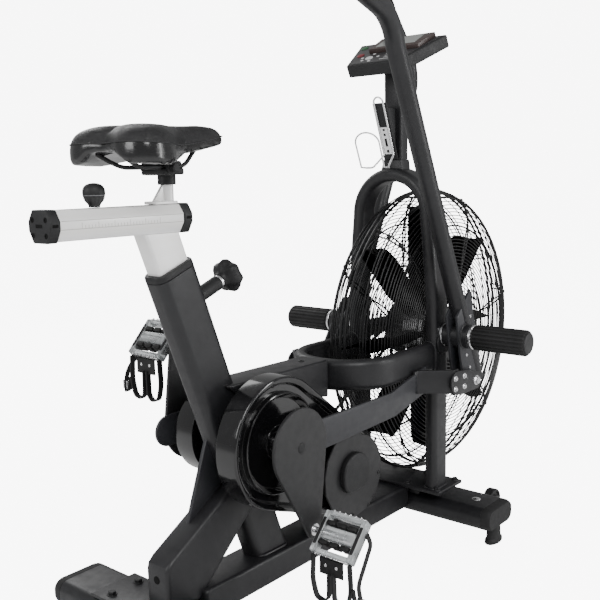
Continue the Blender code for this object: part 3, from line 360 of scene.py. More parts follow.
def sweep(points, section, up=None, closed=False):
    """section is a list of (side, up) points carried along points."""
    points = [Vector(p) for p in points]
    n = len(points)
    b = bmesh.new()
    rows = []
    last_side = None
    for i, point in enumerate(points):
        if closed:
            along = points[(i + 1) % n] - points[i - 1]
        else:
            along = points[min(i + 1, n - 1)] - points[max(i - 1, 0)]
        along.normalize()
        if up is not None:
            side = along.cross(Vector(up)).normalized()
        elif last_side is None:
            side = along.cross(Y if abs(along.y) < 0.9 else X).normalized()
        else:
            side = (last_side - along * last_side.dot(along)).normalized()
        last_side = side
        top = side.cross(along)
        scale = 1.0
        if 0 < i < n - 1 or closed:
            first, second = (points[i] - points[i - 1]).normalized(), (points[(i + 1) % n] -
                                                                       points[i]).normalized()
            scale = 1 / max(0.5, math.sqrt(max(0.0, (1 + first.dot(second)) / 2)))
        rows.append([b.verts.new(point + side * s * scale + top * t) for s, t in section])
    m = len(section)
    for i in range(n if closed else n - 1):
        here, there = rows[i], rows[(i + 1) % n]
        for k in range(m):
            b.faces.new((here[k], here[(k + 1) % m], there[(k + 1) % m], there[k]))
    if not closed:
        b.faces.new(rows[0])
        b.faces.new(rows[-1][::-1])
    return b


def ringed(b, rows):
    """Joins rings of vertices with quads and caps both ends."""
    for here, there in zip(rows, rows[1:]):
        for i in range(len(here)):
            j = (i + 1) % len(here)
            b.faces.new((here[i], here[j], there[j], there[i]))
    b.faces.new(rows[0][::-1])
    b.faces.new(rows[-1])


def disc(radius, sides=10):
    return [(radius * math.cos(2 * math.pi * i / sides), radius * math.sin(2 * math.pi * i / sides))
            for i in range(sides)]


def oval(wide, tall, corner, steps=6):
    """A rectangle with rounded corners, centred."""
    x, y = wide / 2 - corner, tall / 2 - corner
    out = []
    for cx, cy, a in ((x, y, 0), (-x, y, 90), (-x, -y, 180), (x, -y, 270)):
        out += arc((cx, cy), corner, a, a + 90, steps)
    return out


def hoop(radius, wire, middle, sides=120, round_sides=8):
    path = [around(middle, radius, 2 * math.pi * i / sides) for i in range(sides)]
    return sweep(path, disc(wire, round_sides), Y, True)


def screw(place, axis, radius=0.005, height=0.002, kind="hex"):
    """A button head with a socket, or a hexagon head on a washer."""
    axis = Vector(axis).normalized()
    place = Vector(place)
    if kind == "hex":
        washer = turned([(0, 0.001), (radius * 1.25, 0.001), (radius * 1.35, 0), (0, 0)], place, axis, 28)
        head = turned([(0, height * 1.6), (radius * 0.8, height * 1.6), (radius, height * 1.35),
                       (radius, 0.0009), (0, 0.0009)], place, axis, 6)
        return merged([washer, head])
    dome = [(radius * 0.46, height * 0.35), (radius * 0.48, height * 0.98), (radius * 0.75, height * 0.86),
            (radius, height * 0.35), (radius, 0), (0, 0)]
    return turned([(0, height * 0.35)] + dome, place, axis, 24)


def merged(shapes):
    out = bmesh.new()
    for b in shapes:
        holder = bpy.data.meshes.new("holder")
        b.to_mesh(holder)
        out.from_mesh(holder)
        bpy.data.meshes.remove(holder)
        b.free()
    return out


def piece(name, shapes, body, material, at=None, sharp=32, replaces=()):
    b = merged(shapes) if isinstance(shapes, (list, tuple)) else shapes
    bmesh.ops.recalc_face_normals(b, faces=b.faces)
    mesh = bpy.data.meshes.new(name)
    b.to_mesh(mesh)
    b.free()
    if at is not None:
        mesh.transform(at)
    mesh.materials.append(material)
    mesh.shade_smooth()
    mesh.set_sharp_from_angle(angle=math.radians(sharp))
    made = bpy.data.objects.new(name, mesh)
    bpy.context.scene.collection.objects.link(made)
    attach(made, body)
    if replaces:
        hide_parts(*replaces)
    return made


def turn_about(place, angle):
    return Matrix.Translation(place) @ Matrix.Rotation(angle, 4, "Y") @ Matrix.Translation(-Vector(place))


def up_seat(distance, forward=0.0, side=0.0):
    up = Vector((-math.sin(SEAT_LEAN), 0, math.cos(SEAT_LEAN)))
    ahead = Vector((math.cos(SEAT_LEAN), 0, math.sin(SEAT_LEAN)))
    return SEAT_FOOT + up * distance + ahead * forward + Y * side


SEAT_UP = Vector((-math.sin(SEAT_LEAN), 0, math.cos(SEAT_LEAN)))
SEAT_OUT = Vector((math.cos(SEAT_LEAN), 0, math.sin(SEAT_LEAN)))


# ---------------------------------------------------------------- carried-over CAD nodes
def finish_cad():
    """CAD nodes that stay get rounded shading and a finish; see shade_group."""
    looks = {"black_paint": PAINT, "steel": STEEL, "aluminium": ALU, "matte_black": MATTE,
             "gloss_black": GLOSS, "fan_grey": BLADE,
             "rubber": RUBBER, "saddle_cover": VINYL, "grip_foam": FOAM, "pedal_body": CLEAR,
             "console_plastic": MATTE,
             "red_button": RED, "green_button": GREEN, "grey_button": KEY}
    slots = {row["node"]: row["material_slot"] for row in frame["record"]["subparts"]}
    group = shade_group()
    for name, node in frame["nodes"].items():
        look = looks[slots[name]]
        if not node.data.materials:
            node.data.materials.append(look)
        for index in range(len(node.data.materials)):
            node.data.materials[index] = look
        smooth = node.modifiers.new("rounded_shading", "NODES")
        smooth.node_group = group


def shade_group():
    """Welds the mesh and shades it smooth, except at edges sharper than 32 degrees."""
    group = bpy.data.node_groups.new("rounded_shading", "GeometryNodeTree")
    group.interface.new_socket("Geometry", in_out="INPUT", socket_type="NodeSocketGeometry")
    group.interface.new_socket("Geometry", in_out="OUTPUT", socket_type="NodeSocketGeometry")
    nodes, links = group.nodes, group.links
    start, end = nodes.new("NodeGroupInput"), nodes.new("NodeGroupOutput")
    weld = nodes.new("GeometryNodeMergeByDistance")
    weld.inputs["Distance"].default_value = 0.00001
    drop = nodes.new("GeometryNodeRemoveAttribute")
    drop.inputs["Name"].default_value = "custom_normal"
    faces = nodes.new("GeometryNodeSetShadeSmooth")
    faces.domain = "FACE"
    edges = nodes.new("GeometryNodeSetShadeSmooth")
    edges.domain = "EDGE"
    edges.inputs["Shade Smooth"].default_value = False
    angle = nodes.new("GeometryNodeInputMeshEdgeAngle")
    sharp = nodes.new("FunctionNodeCompare")
    sharp.operation = "GREATER_THAN"
    sharp.inputs[1].default_value = math.radians(32)
    links.new(start.outputs[0], weld.inputs["Geometry"])
    links.new(weld.outputs["Geometry"], drop.inputs["Geometry"])
    links.new(drop.outputs["Geometry"], faces.inputs["Geometry"])
    links.new(faces.outputs["Geometry"], edges.inputs["Geometry"])
    links.new(angle.outputs["Unsigned Angle"], sharp.inputs[0])
    links.new(sharp.outputs["Result"], edges.inputs["Selection"])
    links.new(edges.outputs["Geometry"], end.inputs[0])
    return group


finish_cad()


# ---------------------------------------------------------------- fan cage and wheel
def dome(radius):
    """How far the wire cage stands off its middle plane at this radius."""
    outer, flat_to, deep = 0.3345, 0.235, 0.0725
    if radius <= flat_to:
        return deep
    t = min(1.0, (radius - flat_to) / (outer - flat_to))
    return 0.007 + (deep - 0.007) * math.sqrt(max(0.0, 1 - t ** 2.2))


def make_cage():
    """The two wire guards: fine rings, heavier hoops, curved spokes, rim clips and a centre plate."""
    for side, word in SIDES:
        rings = []
        count = 34
        for i in range(count):
            radius = 0.066 + (0.3325 - 0.066) * i / (count - 1)
            rings.append(hoop(radius, 0.00125, FAN + Y * side * dome(radius), 128, 6))
        piece("cage_rings_" + word, rings, "frame", WIRE, replaces=["fan_guard_" + word])
        heavy = [hoop(0.3355, 0.0030, FAN + Y * side * 0.006, 160, 10),
                 hoop(0.318, 0.0022, FAN + Y * side * (dome(0.318) - 0.004), 160, 8),
                 hoop(0.252, 0.0020, FAN + Y * side * (dome(0.252) - 0.0035), 140, 8),
                 hoop(0.150, 0.0020, FAN + Y * side * 0.0690, 100, 8),
                 hoop(0.0620, 0.0026, FAN + Y * side * 0.0705, 72, 8)]
        piece("cage_hoops_" + word, heavy, "frame", WIRE)
        spokes = []
        clips = []
        for i in range(6):
            base = 2 * math.pi * (i + (0.20 if side == RIGHT else 0.45)) / 6
            for offset, bend in ((-0.035, 0.16), (0.035, -0.16)):
                path = []
                for k in range(22):
                    radius = 0.060 + (0.335 - 0.060) * k / 21
                    bow = bend * math.sin(math.pi * k / 21) ** 2 * 0.35
                    angle = base + offset * 0.06 / radius * 3 + bow
                    path.append(around(FAN, radius, angle) + Y * side * (dome(radius) - 0.0032))
                spokes.append(sweep(path, disc(0.0019, 7)))
            for radius in (0.322, 0.296):
                centre = around(FAN, radius, base) + Y * side * (dome(radius) - 0.001)
                clips.append(cuboid((0.010, 0.006, 0.008), centre, lean(-base), 0.002, 2))
        piece("cage_spokes_" + word, spokes, "frame", WIRE)
        piece("cage_clips_" + word, clips, "frame", MATTE)
        hub = turned([(0, 0.0015), (0.060, 0.0015), (0.0635, 0), (0.0635, -0.003), (0.040, -0.0035),
                      (0, -0.0035)], FAN + Y * side * 0.0735, Y * side, 64)
        piece("cage_centre_" + word, [hub], "frame", PAINT)


def make_fan():
    """Eight dished blades on flat arms round a hub, sleeve and pulley."""
    blades, ribs = [], []
    for i in range(8):
        angle = 2 * math.pi * i / 8
        b = bmesh.new()
        rows = []
        for k in range(13):
            radius = 0.050 + (0.296 - 0.050) * k / 12
            half = 0.026 + 0.021 * min(1.0, k / 4)
            if k == 12:
                half *= 0.86
            row = []
            for j in range(9):
                s = -1 + 2 * j / 8
                row.append(b.verts.new((radius, s * half, 0.009 * (s * s - 0.4) + 0.004 * math.sin(3 * s))))
            rows.append(row)
        for here, there in zip(rows, rows[1:]):
            for j in range(8):
                b.faces.new((here[j], here[j + 1], there[j + 1], there[j]))
        bmesh.ops.solidify(b, geom=b.faces[:], thickness=0.0022)
        b.transform(Matrix.Translation(FAN) @ Matrix.Rotation(angle, 4, "Y"))
        blades.append(b)
        arm = cuboid((0.120, 0.030, 0.004), (0.098, 0, -0.0045), None, 0.0012, 2)
        bolts = [screw((x, y, -0.0065), (0, 0, -1), 0.004, 0.002) for x in (0.112, 0.142)
                 for y in (-0.009, 0.009)]
        arm = merged([arm] + bolts)
        arm.transform(Matrix.Translation(FAN) @ Matrix.Rotation(angle, 4, "Y"))
        ribs.append(arm)
    piece("fan_blades", blades, "fan_wheel", BLADE, sharp=40, replaces=["fan_wheel"])
    piece("fan_blade_arms", ribs, "fan_wheel", BLADE)
    hub = turned([(0.0065, 0.034), (0.030, 0.034), (0.033, 0.031), (0.062, 0.029), (0.064, 0.026),
                  (0.064, -0.026), (0.062, -0.029),
                  (0.033, -0.031), (0.030, -0.034), (0.0065, -0.034)], FAN, Y, 64)
    sleeve = turned([(0.0066, 0.074), (0.0120, 0.074), (0.0125, 0.073), (0.0125, -0.079),
                     (0.0066, -0.080)], FAN, -Y, 40)
    pulley = turned([(0.0066, 0.0088), (0.0165, 0.0088), (0.0165, 0.0080), (0.0150, 0.0070),
                     (0.0150, 0.0015), (0.0165, 0.0005), (0.0165, 0), (0.0066, 0)],
                    FAN + Y * 0.0796, Y, 48)
    piece("fan_hub", [hub, sleeve, pulley], "fan_wheel", STEEL)


# ---------------------------------------------------------------- frames
def make_front():
    """The arch, the looped bar, the floor plate, the fan arms, and their welds and bolts."""
    leg_section = oval(LEG_THICK, LEG_DEEP, 0.0135, 8)
    middle = ARCH_TOP - ARCH_HALF - LEG_THICK / 2
    leg = [(LEG_Y, LEG_FOOT), (LEG_Y, 0.30), (LEG_Y, 0.48), (LEG_Y - 0.0003, 0.54), (LEG_Y - 0.004, 0.60),
           (LEG_Y - 0.009, 0.67)]
    outline = leg + arc((0, middle), ARCH_HALF, 0, 180, 48) + [(-y, z) for y, z in leg[::-1]]
    path = [Vector((LEG_X, y, z)) for y, z in outline]
    arch = sweep(path, leg_section, X)
    piece("arch_tube", [arch], "frame", PAINT, replaces=["front_frame"])
    bar_section = oval(0.028, 0.065, 0.0135, 8)
    corner = LOOP_CORNER
    half_turns = ((LEG_Y - corner, 90, 180), (corner - LEG_Y, 180, 270))
    loop = [Vector((LEG_X, LEG_Y, LOOP_Z)), Vector((0.10, LEG_Y, LOOP_Z))]
    for y_mid, first, last in half_turns:
        bend = arc((LOOP_REAR + corner, y_mid), corner, first, last, 24)
        loop += [Vector((x, y, LOOP_Z)) for x, y in bend]
    loop += [Vector((0.10, -LEG_Y, LOOP_Z)), Vector((LEG_X, -LEG_Y, LOOP_Z))]
    piece("loop_bar", [sweep(loop, bar_section, Z)], "frame", PAINT)
    plate = cuboid((0.105, 0.270, 0.008), (0.2475, 0, 0.1145), None, 0.0015, 2)
    piece("floor_plate", [plate], "frame", PAINT)
    welds = []
    for side in (RIGHT, LEFT):
        rim = [Vector((LEG_X + s, side * LEG_Y + t, 0.1195))
               for t, s in oval(LEG_THICK + 0.003, LEG_DEEP + 0.003, 0.0145, 8)]
        welds.append(sweep(rim, disc(0.0024, 8), Z, True))
        seat = [Vector((LEG_X - LEG_DEEP / 2 - 0.0005, side * LEG_Y + s, LOOP_Z + t))
                for s, t in oval(0.031, 0.068, 0.0145, 8)]
        welds.append(sweep(seat, disc(0.0024, 8), X, True))
        for x in (0.208, 0.290):
            welds.append(screw((x, side * 0.122, LEG_FOOT), Z, 0.0065, 0.0035))
        arm = slab(hull((LEG_X, FAN.z), 0.024, flat(FAN), 0.020, 20), 0.0045,
                   side * (LEG_Y + LEG_THICK / 2 + 0.0018), "XZ", 0.0008, 2)
        piece("fan_arm_" + ("right" if side == RIGHT else "left"), [arm], "frame", PAINT)
    for y in (-0.045, 0.045):
        for x in (0.208, 0.290):
            welds.append(screw((x, y, LEG_FOOT), Z, 0.0065, 0.0035))
    piece("front_frame_welds_and_bolts", welds, "frame", WELD)


def make_mast():
    """The upright under the console, cut off at the console's plane."""
    tube = cuboid((0.030, 0.045, 0.262), (LEG_X, 0, 0.969), None, 0.0045, 4)
    under = CONSOLE @ Vector((0.022, 0, -0.0145))
    bmesh.ops.bisect_plane(tube, geom=tube.verts[:] + tube.edges[:] + tube.faces[:], plane_co=under,
                           plane_no=CONSOLE.to_3x3() @ Z, clear_outer=True)
    bmesh.ops.holes_fill(tube, edges=tube.edges[:])
    piece("mast_tube", [tube], "frame", PAINT, replaces=["mast"])
    foot = slab([(-0.028, ARCH_TOP - 0.019), (0.028, ARCH_TOP - 0.019), (0.0235, 0.860), (-0.0235, 0.860)],
                0.036, LEG_X, "YZ", 0.002, 3)
    piece("mast_foot", [foot], "frame", PAINT)
    head = cuboid((0.056, 0.050, 0.007), (0.022, 0, -0.0182), None, 0.0015, 3)
    piece("console_bracket", [head], "frame", MATTE, at=CONSOLE)
    bolts = [screw((LEG_X, -0.0225, z), -Y, 0.0050, 0.003) for z in (1.030, 1.006)]
    piece("mast_bolts", bolts, "frame", MATTE)


def make_base():
    """The floor beam, seat tube, strut, box beam, gusset, crank bracket, welds and bolts."""
    front, rear = LEG_X - 0.011, -0.490 + 0.057
    beam = cuboid((front - rear, 0.080, 0.055), ((front + rear) / 2, 0, 0.0825), None, 0.0075, 5)
    piece("floor_beam", [beam], "frame", PAINT, replaces=["main_frame"])
    section = oval(0.050, 0.086, 0.017, 8)
    tube = sweep([up_seat(-0.030), up_seat(0.20), up_seat(0.40), up_seat(TUBE_TOP)], section, SEAT_OUT)
    piece("seat_tube", [tube], "frame", PAINT)
    strut_outline = [(-0.510, 0.0915), (-0.436, 0.0915), (-0.424, 0.102), (-0.280, 0.231), (-0.290, 0.305),
                     (-0.497, 0.186), (-0.508, 0.176), (-0.511, 0.165)]
    piece("strut", [slab(strut_outline, 0.056, 0, "XZ", 0.0075, 5)], "frame", PAINT)
    # A thin near-black disc at the open strut end: painted shade standing in for the dark inside of the hole.
    rear_hole_shade = [turned([(0, 0.0008), (0.0065, 0.0008), (0.0072, 0), (0, 0)], (-0.5112, 0, 0.150), -X, 24)]
    piece("strut_end_hole_shade", rear_hole_shade, "frame", HOLE_SHADE)
    piece("rear_foot_plate",
          [cuboid((0.100, 0.300, 0.006), (-0.490, 0, 0.0885), None, 0.0012, 2)], "frame", PAINT)
    beam_outline = [(-0.36, 0.464), (-0.0705, 0.460), (-0.0705, 0.382), (-0.31, 0.430)]
    piece("box_beam", [slab(beam_outline, 0.070, 0, "XZ", 0.005, 4)], "frame", PAINT)
    gusset = [(-0.352, 0.44), (-0.30, 0.40), (-0.30, 0.28), (-0.44, 0.20), (-0.382, 0.36)]
    piece("rear_gusset", [slab(gusset, 0.008, 0.006, "XZ", 0.0012, 2)], "frame", PAINT_GREY)
    for side, word in SIDES:
        sheet = slab(hull(flat(CRANK), 0.060, flat(SHAFT), 0.040), 0.004, side * 0.0475, "XZ", 0.0006, 2)
        piece("bracket_sheet_" + word, [sheet], "frame", PAINT)
    shell = bar(0.030, *across(CRANK, -0.049, 0.049))
    housing = bar(0.024, *across(SHAFT, -0.049, 0.049))
    web = cuboid((0.018, 0.030, 0.150), (SHAFT.x, 0, 0.170), None, 0.001, 2)
    piece("bracket_shells", [shell, housing, web], "frame", PAINT)
    welds, bolts = [], []
    rim = [up_seat(-0.002, f, s) for s, f in oval(0.053, 0.089, 0.018, 8)]
    rim = [Vector((p.x, p.y, 0.1115)) for p in rim]
    welds.append(sweep(rim, disc(0.0032, 8), Z, True))
    for side in (RIGHT, LEFT):
        for x in (-0.520, -0.460):
            bolts.append(screw((x, side * 0.115, 0.0915), Z, 0.0075, 0.004))
    bolts.append(screw((-0.115, 0, 0.4605), Z, 0.007, 0.002, "round"))
    piece("main_frame_welds", welds, "frame", WELD)
    piece("main_frame_bolts", bolts, "frame", MATTE)


def make_stabilisers():
    """Both cross tubes with rubber ends and pads, the riser and the transport wheels."""
    for name, x, z, half in (("front", 0.2795, 0.064, 0.224), ("rear", -0.490, 0.060, 0.240)):
        section = oval(0.114, 0.050, 0.021, 10)
        tube = sweep([(x, -half, z), (x, -half / 2, z), (x, half / 2, z), (x, half, z)], section, Z)
        piece(name + "_stabiliser_tube", [tube], "frame", PAINT, replaces=[name + "_stabiliser"])
        for side, word in SIDES:
            cap = sweep([(x, side * (half + 0.0003), z), (x, side * (half + 0.013), z),
                         (x, side * (half + 0.019), z), (x, side * (half + 0.0213), z)],
                        oval(0.1145, 0.0505, 0.0212, 10), Z)
            cap.verts.ensure_lookup_table()
            for v in cap.verts:
                t = (abs(v.co.y) - half - 0.010) / 0.0115
                if t > 0:
                    v.co.x = x + (v.co.x - x) * (1 - 0.07 * t * t)
                    v.co.z = z + (v.co.z - z) * (1 - 0.15 * t * t)
            y = side * (half + 0.0040)
            drop = z - 0.025
            pad = turned([(0, drop + 0.004), (0.012, drop + 0.004), (0.013, 0.012), (0.0155, 0.008),
                          (0.0158, 0.002), (0.0148, 0), (0, 0)], (x, 0, 0), Z, 40)
            pad.transform(Matrix.Translation((x, y, 0)) @ Matrix.Diagonal((1.9, 1, 1,
                                                                           1)) @ Matrix.Translation((-x, 0,
                                                                                                     0)))
            piece(name + "_cap_" + word, [cap, pad], "frame", RUBBER, replaces=[name + "_foot_" + word])
            if name == "front":
                plug = turned([(0, 0.0022), (0.0075, 0.0020), (0.0100, 0.0006), (0.0105, -0.001),
                               (0, -0.001)], (x, side * (half - 0.040), z + 0.025), Z, 32)
                piece("front_plug_" + word, [plug], "frame", STEEL)
    piece("front_riser",
          [cuboid((0.060, 0.120, 0.026), (0.262, 0, 0.0972), None, 0.002, 2)], "frame", PAINT)
    for side, word in SIDES:
        y = side * 0.190
        fork = [slab(hull((0.336, 0.060), 0.016, (0.371, 0.058), 0.012, 12), 0.004, side * 0.1885,
                     "XZ", 0.0006, 2)]
        fork.append(bar(0.004, *across((0.371, 0, 0.058), side * 0.162, side * 0.1925), 20))
        piece("wheel_fork_" + word, fork, "frame", PAINT)
        centre = Vector((0.371, side * 0.17525, 0.058))
        tyre = turned([(0.0042, 0.0095), (0.010, 0.0098), (0.0125, 0.0070), (0.019, 0.0072),
                       (0.0205, 0.0108), (0.0245, 0.0105), (0.026, 0.0085),
                       (0.026, -0.0085), (0.0245, -0.0105), (0.0205, -0.0108), (0.019, -0.0072),
                       (0.0125, -0.0070), (0.010, -0.0098), (0.0042, -0.0095)],
                      centre, Y, 56)
        piece("wheel_tyre_" + word, [tyre], "wheel_" + word, MATTE, replaces=["transport_wheel_" + word])


# ---------------------------------------------------------------- cases and cranks
def make_cases():
    """Two gloss shells, each a round lobe at the crank and one at the shaft; the left rear lobe is smaller."""
    lobe, small = (-0.0675, 0.230), 0.083
    for side, word in SIDES:
        shapes = []
        big = 0.122 if side == RIGHT else 0.084
        outline = hull(flat(CRANK), big, lobe, small, 48)
        wall_in = hull(flat(CRANK), big - 0.006, lobe, small - 0.006, 48)
        outer_y, inner_y = side * 0.0967, side * 0.0507
        b = bmesh.new()
        ring_shapes = [(outline, inner_y), (outline, outer_y - side * 0.0035)]
        for k in range(1, 5):
            a = math.pi / 2 * k / 4
            grow = 0.0035 * (1 - math.cos(a))
            inset = hull(flat(CRANK), big - grow, lobe, small - grow, 48)
            ring_shapes.append((inset, outer_y - side * 0.0035 * (1 - math.sin(a))))
        inset = hull(flat(CRANK), big - 0.012, lobe, small - 0.012, 48)
        floor = hull(flat(CRANK), big - 0.016, lobe, small - 0.016, 48)
        ring_shapes += [(wall_in, outer_y), (inset, outer_y - side * 0.003),
                        (floor, outer_y - side * 0.010)]
        rows = [[b.verts.new((x, y, z)) for x, z in points] for points, y in ring_shapes]
        ringed(b, rows)
        shapes.append(b)
        rim = [(0.094, 0.002), (0.094, 0.010), (0.0932, 0.0195), (0.0915, 0.0203), (0.090, 0.0195)]
        bowl = [(0.0875, 0.015), (0.080, 0.0065), (0.060, 0.0035), (0.036, 0.0040), (0.0315, 0.010),
                (0.0225, 0.0105), (0.0220, 0.002)]
        dish = turned([(r * big / 0.122, h) for r, h in rim + bowl],
                      CRANK + Y * side * 0.0775, Y * side, 96)
        shapes.append(dish)
        piece("case_shell_" + word, shapes, "frame", GLOSS, sharp=28, replaces=[word + "_case"])
        screws = []
        for degrees in (100, 140, 180, 220, 262):
            a = math.radians(degrees)
            place = around(CRANK, big - 0.0095, a) + Y * side * 0.0945
            screws.append(screw(place, Y * side, 0.0045, 0.0022, "round"))
        piece("case_screws_" + word, screws, "frame", MATTE)
    ear = [(-0.062, 0.325), (-0.080, 0.332), (-0.108, 0.330), (-0.140, 0.312), (-0.162, 0.284),
           (-0.172, 0.252), (-0.170, 0.218), (-0.150, 0.182)]
    cover = arc(lobe, small, -128, 78, 56) + ear
    piece("front_cover", [slab(cover, 0.005, -0.1003, "XZ", 0.0015, 3)], "frame", COVER,
          replaces=["right_front_cover"])
    boss_outline = [(0.043 * math.cos(math.radians(d)), max(0.043 * math.sin(math.radians(d)), -0.034))
                    for d in range(0, 360, 5)]
    boss = slab([(SHAFT.x + 0.012 + x, SHAFT.z - 0.004 + z) for x, z in boss_outline], 0.014,
                -0.1098, "XZ", 0.004, 4)
    piece("cover_boss", [boss], "frame", MATTE)
    spots = [(-0.005, 0.290), (-0.030, 0.155), (-0.012, 0.168), (0.006, 0.215), (-0.085, 0.152)]
    piece("cover_screws",
          [screw((x, -0.1028, z), -Y, 0.0042, 0.0018, "round") for x, z in spots], "frame", MATTE)


def make_cranks():
    """Tapered crank blades with their bosses, nuts and pedal bolts."""
    for side, word, turn in ((RIGHT, "right", CRANK_LEAN), (LEFT, "left", CRANK_LEAN + math.pi)):
        home = CRANK - Z * CRANK_LENGTH
        at = turn_about(CRANK, turn)
        outline = hull(flat(CRANK), 0.072, flat(home), 0.0175, 48)
        blade = slab(outline, 0.0075, side * 0.1386, "XZ", 0.0018, 4)
        piece("crank_blade_" + word, [blade], "crank_set", COVER, at=at, replaces=["crank_" + word])
        plug = turned([(0, 0.0012), (0.0085, 0.0010), (0.0098, 0.0002), (0.0102, -0.0004), (0, -0.0004)],
                      CRANK + Y * side * 0.1424, Y * side, 40)
        piece("crank_plug_" + word, [plug], "crank_set", MATTE, at=at)
        washer = turned([(0, 0.0016), (0.0055, 0.0016), (0.0062, 0.0006), (0.0112, 0.0006), (0.0115, 0),
                         (0, 0)], home + Y * side * 0.1424, Y * side, 40)
        spindle = bar(0.0060, *across(home, side * 0.1440, side * 0.2360), 32)
        piece("pedal_bolt_" + word, [washer, spindle], "crank_set", STEEL, at=at,
              replaces=["pedal_spindle_" + word])
        boss = bar(0.018, *across(CRANK, side * 0.1000, side * 0.1215), 48)
        nut = bar(0.0118, *across(CRANK, side * 0.1200, side * 0.1349), 36)
        piece("crank_boss_" + word, [boss, nut], "crank_set", STEEL, at=at)


def make_pedals():
    """Clear pedal bodies with black treads and metal edges."""
    for side, word, home in ((RIGHT, "right", PEDAL_RIGHT), (LEFT, "left", PEDAL_LEFT)):
        middle = Vector((home.x, side * 0.200, home.z))
        at = Matrix.Translation(middle) @ lean(math.radians(-47))
        body = "pedal_" + word
        clear = [cuboid((0.080, 0.011, 0.020), (0, side * 0.0405, 0), None, 0.003, 3),
                 cuboid((0.080, 0.011, 0.020), (0, -side * 0.0405, 0), None, 0.003, 3),
                 cuboid((0.010, 0.072, 0.019), (0.036, 0, 0), None, 0.0025, 3),
                 cuboid((0.010, 0.072, 0.019), (-0.036, 0, 0), None, 0.0025, 3),
                 cuboid((0.024, 0.072, 0.0215), (0, 0, 0), None, 0.004, 3)]
        piece("pedal_frame_" + word, clear, body, CLEAR, at=at, replaces=["pedal_" + word])
        treads = []
        for x in (-0.0185, 0.0185):
            for y in (-0.024, 0.0, 0.024):
                treads.append(cuboid((0.008, 0.019, 0.0228), (x, y, 0), None, 0.0016, 2))
        for y in (-0.0405, 0.0405):
            treads.append(cuboid((0.052, 0.0065, 0.0226), (0, y, 0), None, 0.0016, 2))
        piece("pedal_treads_" + word, treads, body, RUBBER, at=at)
        edges = []
        for x in (-0.0412, 0.0412):
            edges.append(cuboid((0.0016, 0.080, 0.012), (x, 0, 0), None, 0.0005, 2))
            edges += [cuboid((0.0040, 0.0030, 0.0040), (x, y, 0.0075), None, 0.0006, 2)
                      for y in (-0.030, -0.018, -0.006, 0.006, 0.018, 0.030)]
        edges.append(bar(0.0070, (0, -side * 0.0465, 0), (0, -side * 0.0440, 0), 28))
        piece("pedal_edges_" + word, edges, body, STEEL, at=at)
        make_basket(side, word, at, body)


def make_basket(side, word, at, body):
    """Two bent loops hang straight down from the pedal's low edge, with the strap and its buckle outside."""
    down, across_way = Vector((-0.731, 0, -0.682)), Vector((0.682, 0, -0.731))
    start = Vector((-0.0440, 0, -0.004))

    def hung(drop, y, off=0.0):
        return start + down * drop + Y * y + across_way * off

    loops = []
    for w in (1, -1):
        path = rounded([hung(-0.004, w * 0.040), hung(0.045, w * 0.043), hung(0.076, w * 0.034),
                        hung(0.080, w * 0.016),
                        hung(0.070, w * 0.006), hung(0.022, w * 0.005)], 0.012, 6)
        loops.append(sweep(path, oval(0.0036, 0.012, 0.0012, 3), across_way))
    turn = Matrix((across_way, Y, across_way.cross(Y))).transposed()
    loops.append(cuboid((0.003, 0.052, 0.030), hung(0.013, 0), turn, 0.0008, 2))
    piece("toe_basket_cage_" + word, loops, body, RUBBER, at=at, replaces=["toe_basket_" + word])
    rivets = [screw(hung(0.010, y, -0.0016), -across_way, 0.0032, 0.0014, "round") for y in (-0.012, 0.012)]
    piece("toe_basket_rivets_" + word, rivets, body, STEEL, at=at)
    strap = rounded([(0.020, side * 0.0465, -0.004), (0.010, side * 0.052, -0.020),
                     hung(0.030, side * 0.058), hung(0.055, side * 0.064),
                     hung(0.074, side * 0.063), hung(0.066, side * 0.052),
                     hung(0.040, side * 0.047)], 0.014, 7)
    piece("toe_strap_" + word, [sweep(strap, oval(0.0022, 0.011, 0.0008, 3), across_way)],
          body, RUBBER, at=at)
    buckle = [cuboid((0.004, 0.013, 0.015), hung(0.060, side * 0.0655), turn, 0.001, 2),
              cuboid((0.0055, 0.015, 0.004), hung(0.052, side * 0.0645), turn, 0.001, 2)]
    piece("toe_buckle_" + word, buckle, body, STEEL, at=at)


# ---------------------------------------------------------------- arms, pegs and links
def arm_path(side):
    flare = 0.045
    bottom, knee = Vector((0.314, 0.365)), Vector((-0.009, 1.069))
    radius, end = 0.110, math.radians(78)
    tilt = math.atan2(bottom.x - knee.x, knee.y - bottom.y)
    points = [Vector((bottom.x + (knee.x - bottom.x) * t, side * ARM_PLANE,
                      bottom.y + (knee.y - bottom.y) * t)) for t in (0, 0.25, 0.5, 0.75, 1)]
    centre = knee - radius * Vector((math.cos(tilt), math.sin(tilt)))
    for step in range(1, 25):
        t = step / 24
        angle = tilt + (end - tilt) * t
        points.append(Vector((centre.x + radius * math.cos(angle), side * (ARM_PLANE + flare * 0.35 * t),
                              centre.y + radius * math.sin(angle))))
    along = Vector((-math.sin(end), side * 0.16, math.cos(end))).normalized()
    last = points[-1].copy()
    points += [last + along * 0.215 * t for t in (0.1, 0.3, 0.65, 1)]
    return points, along


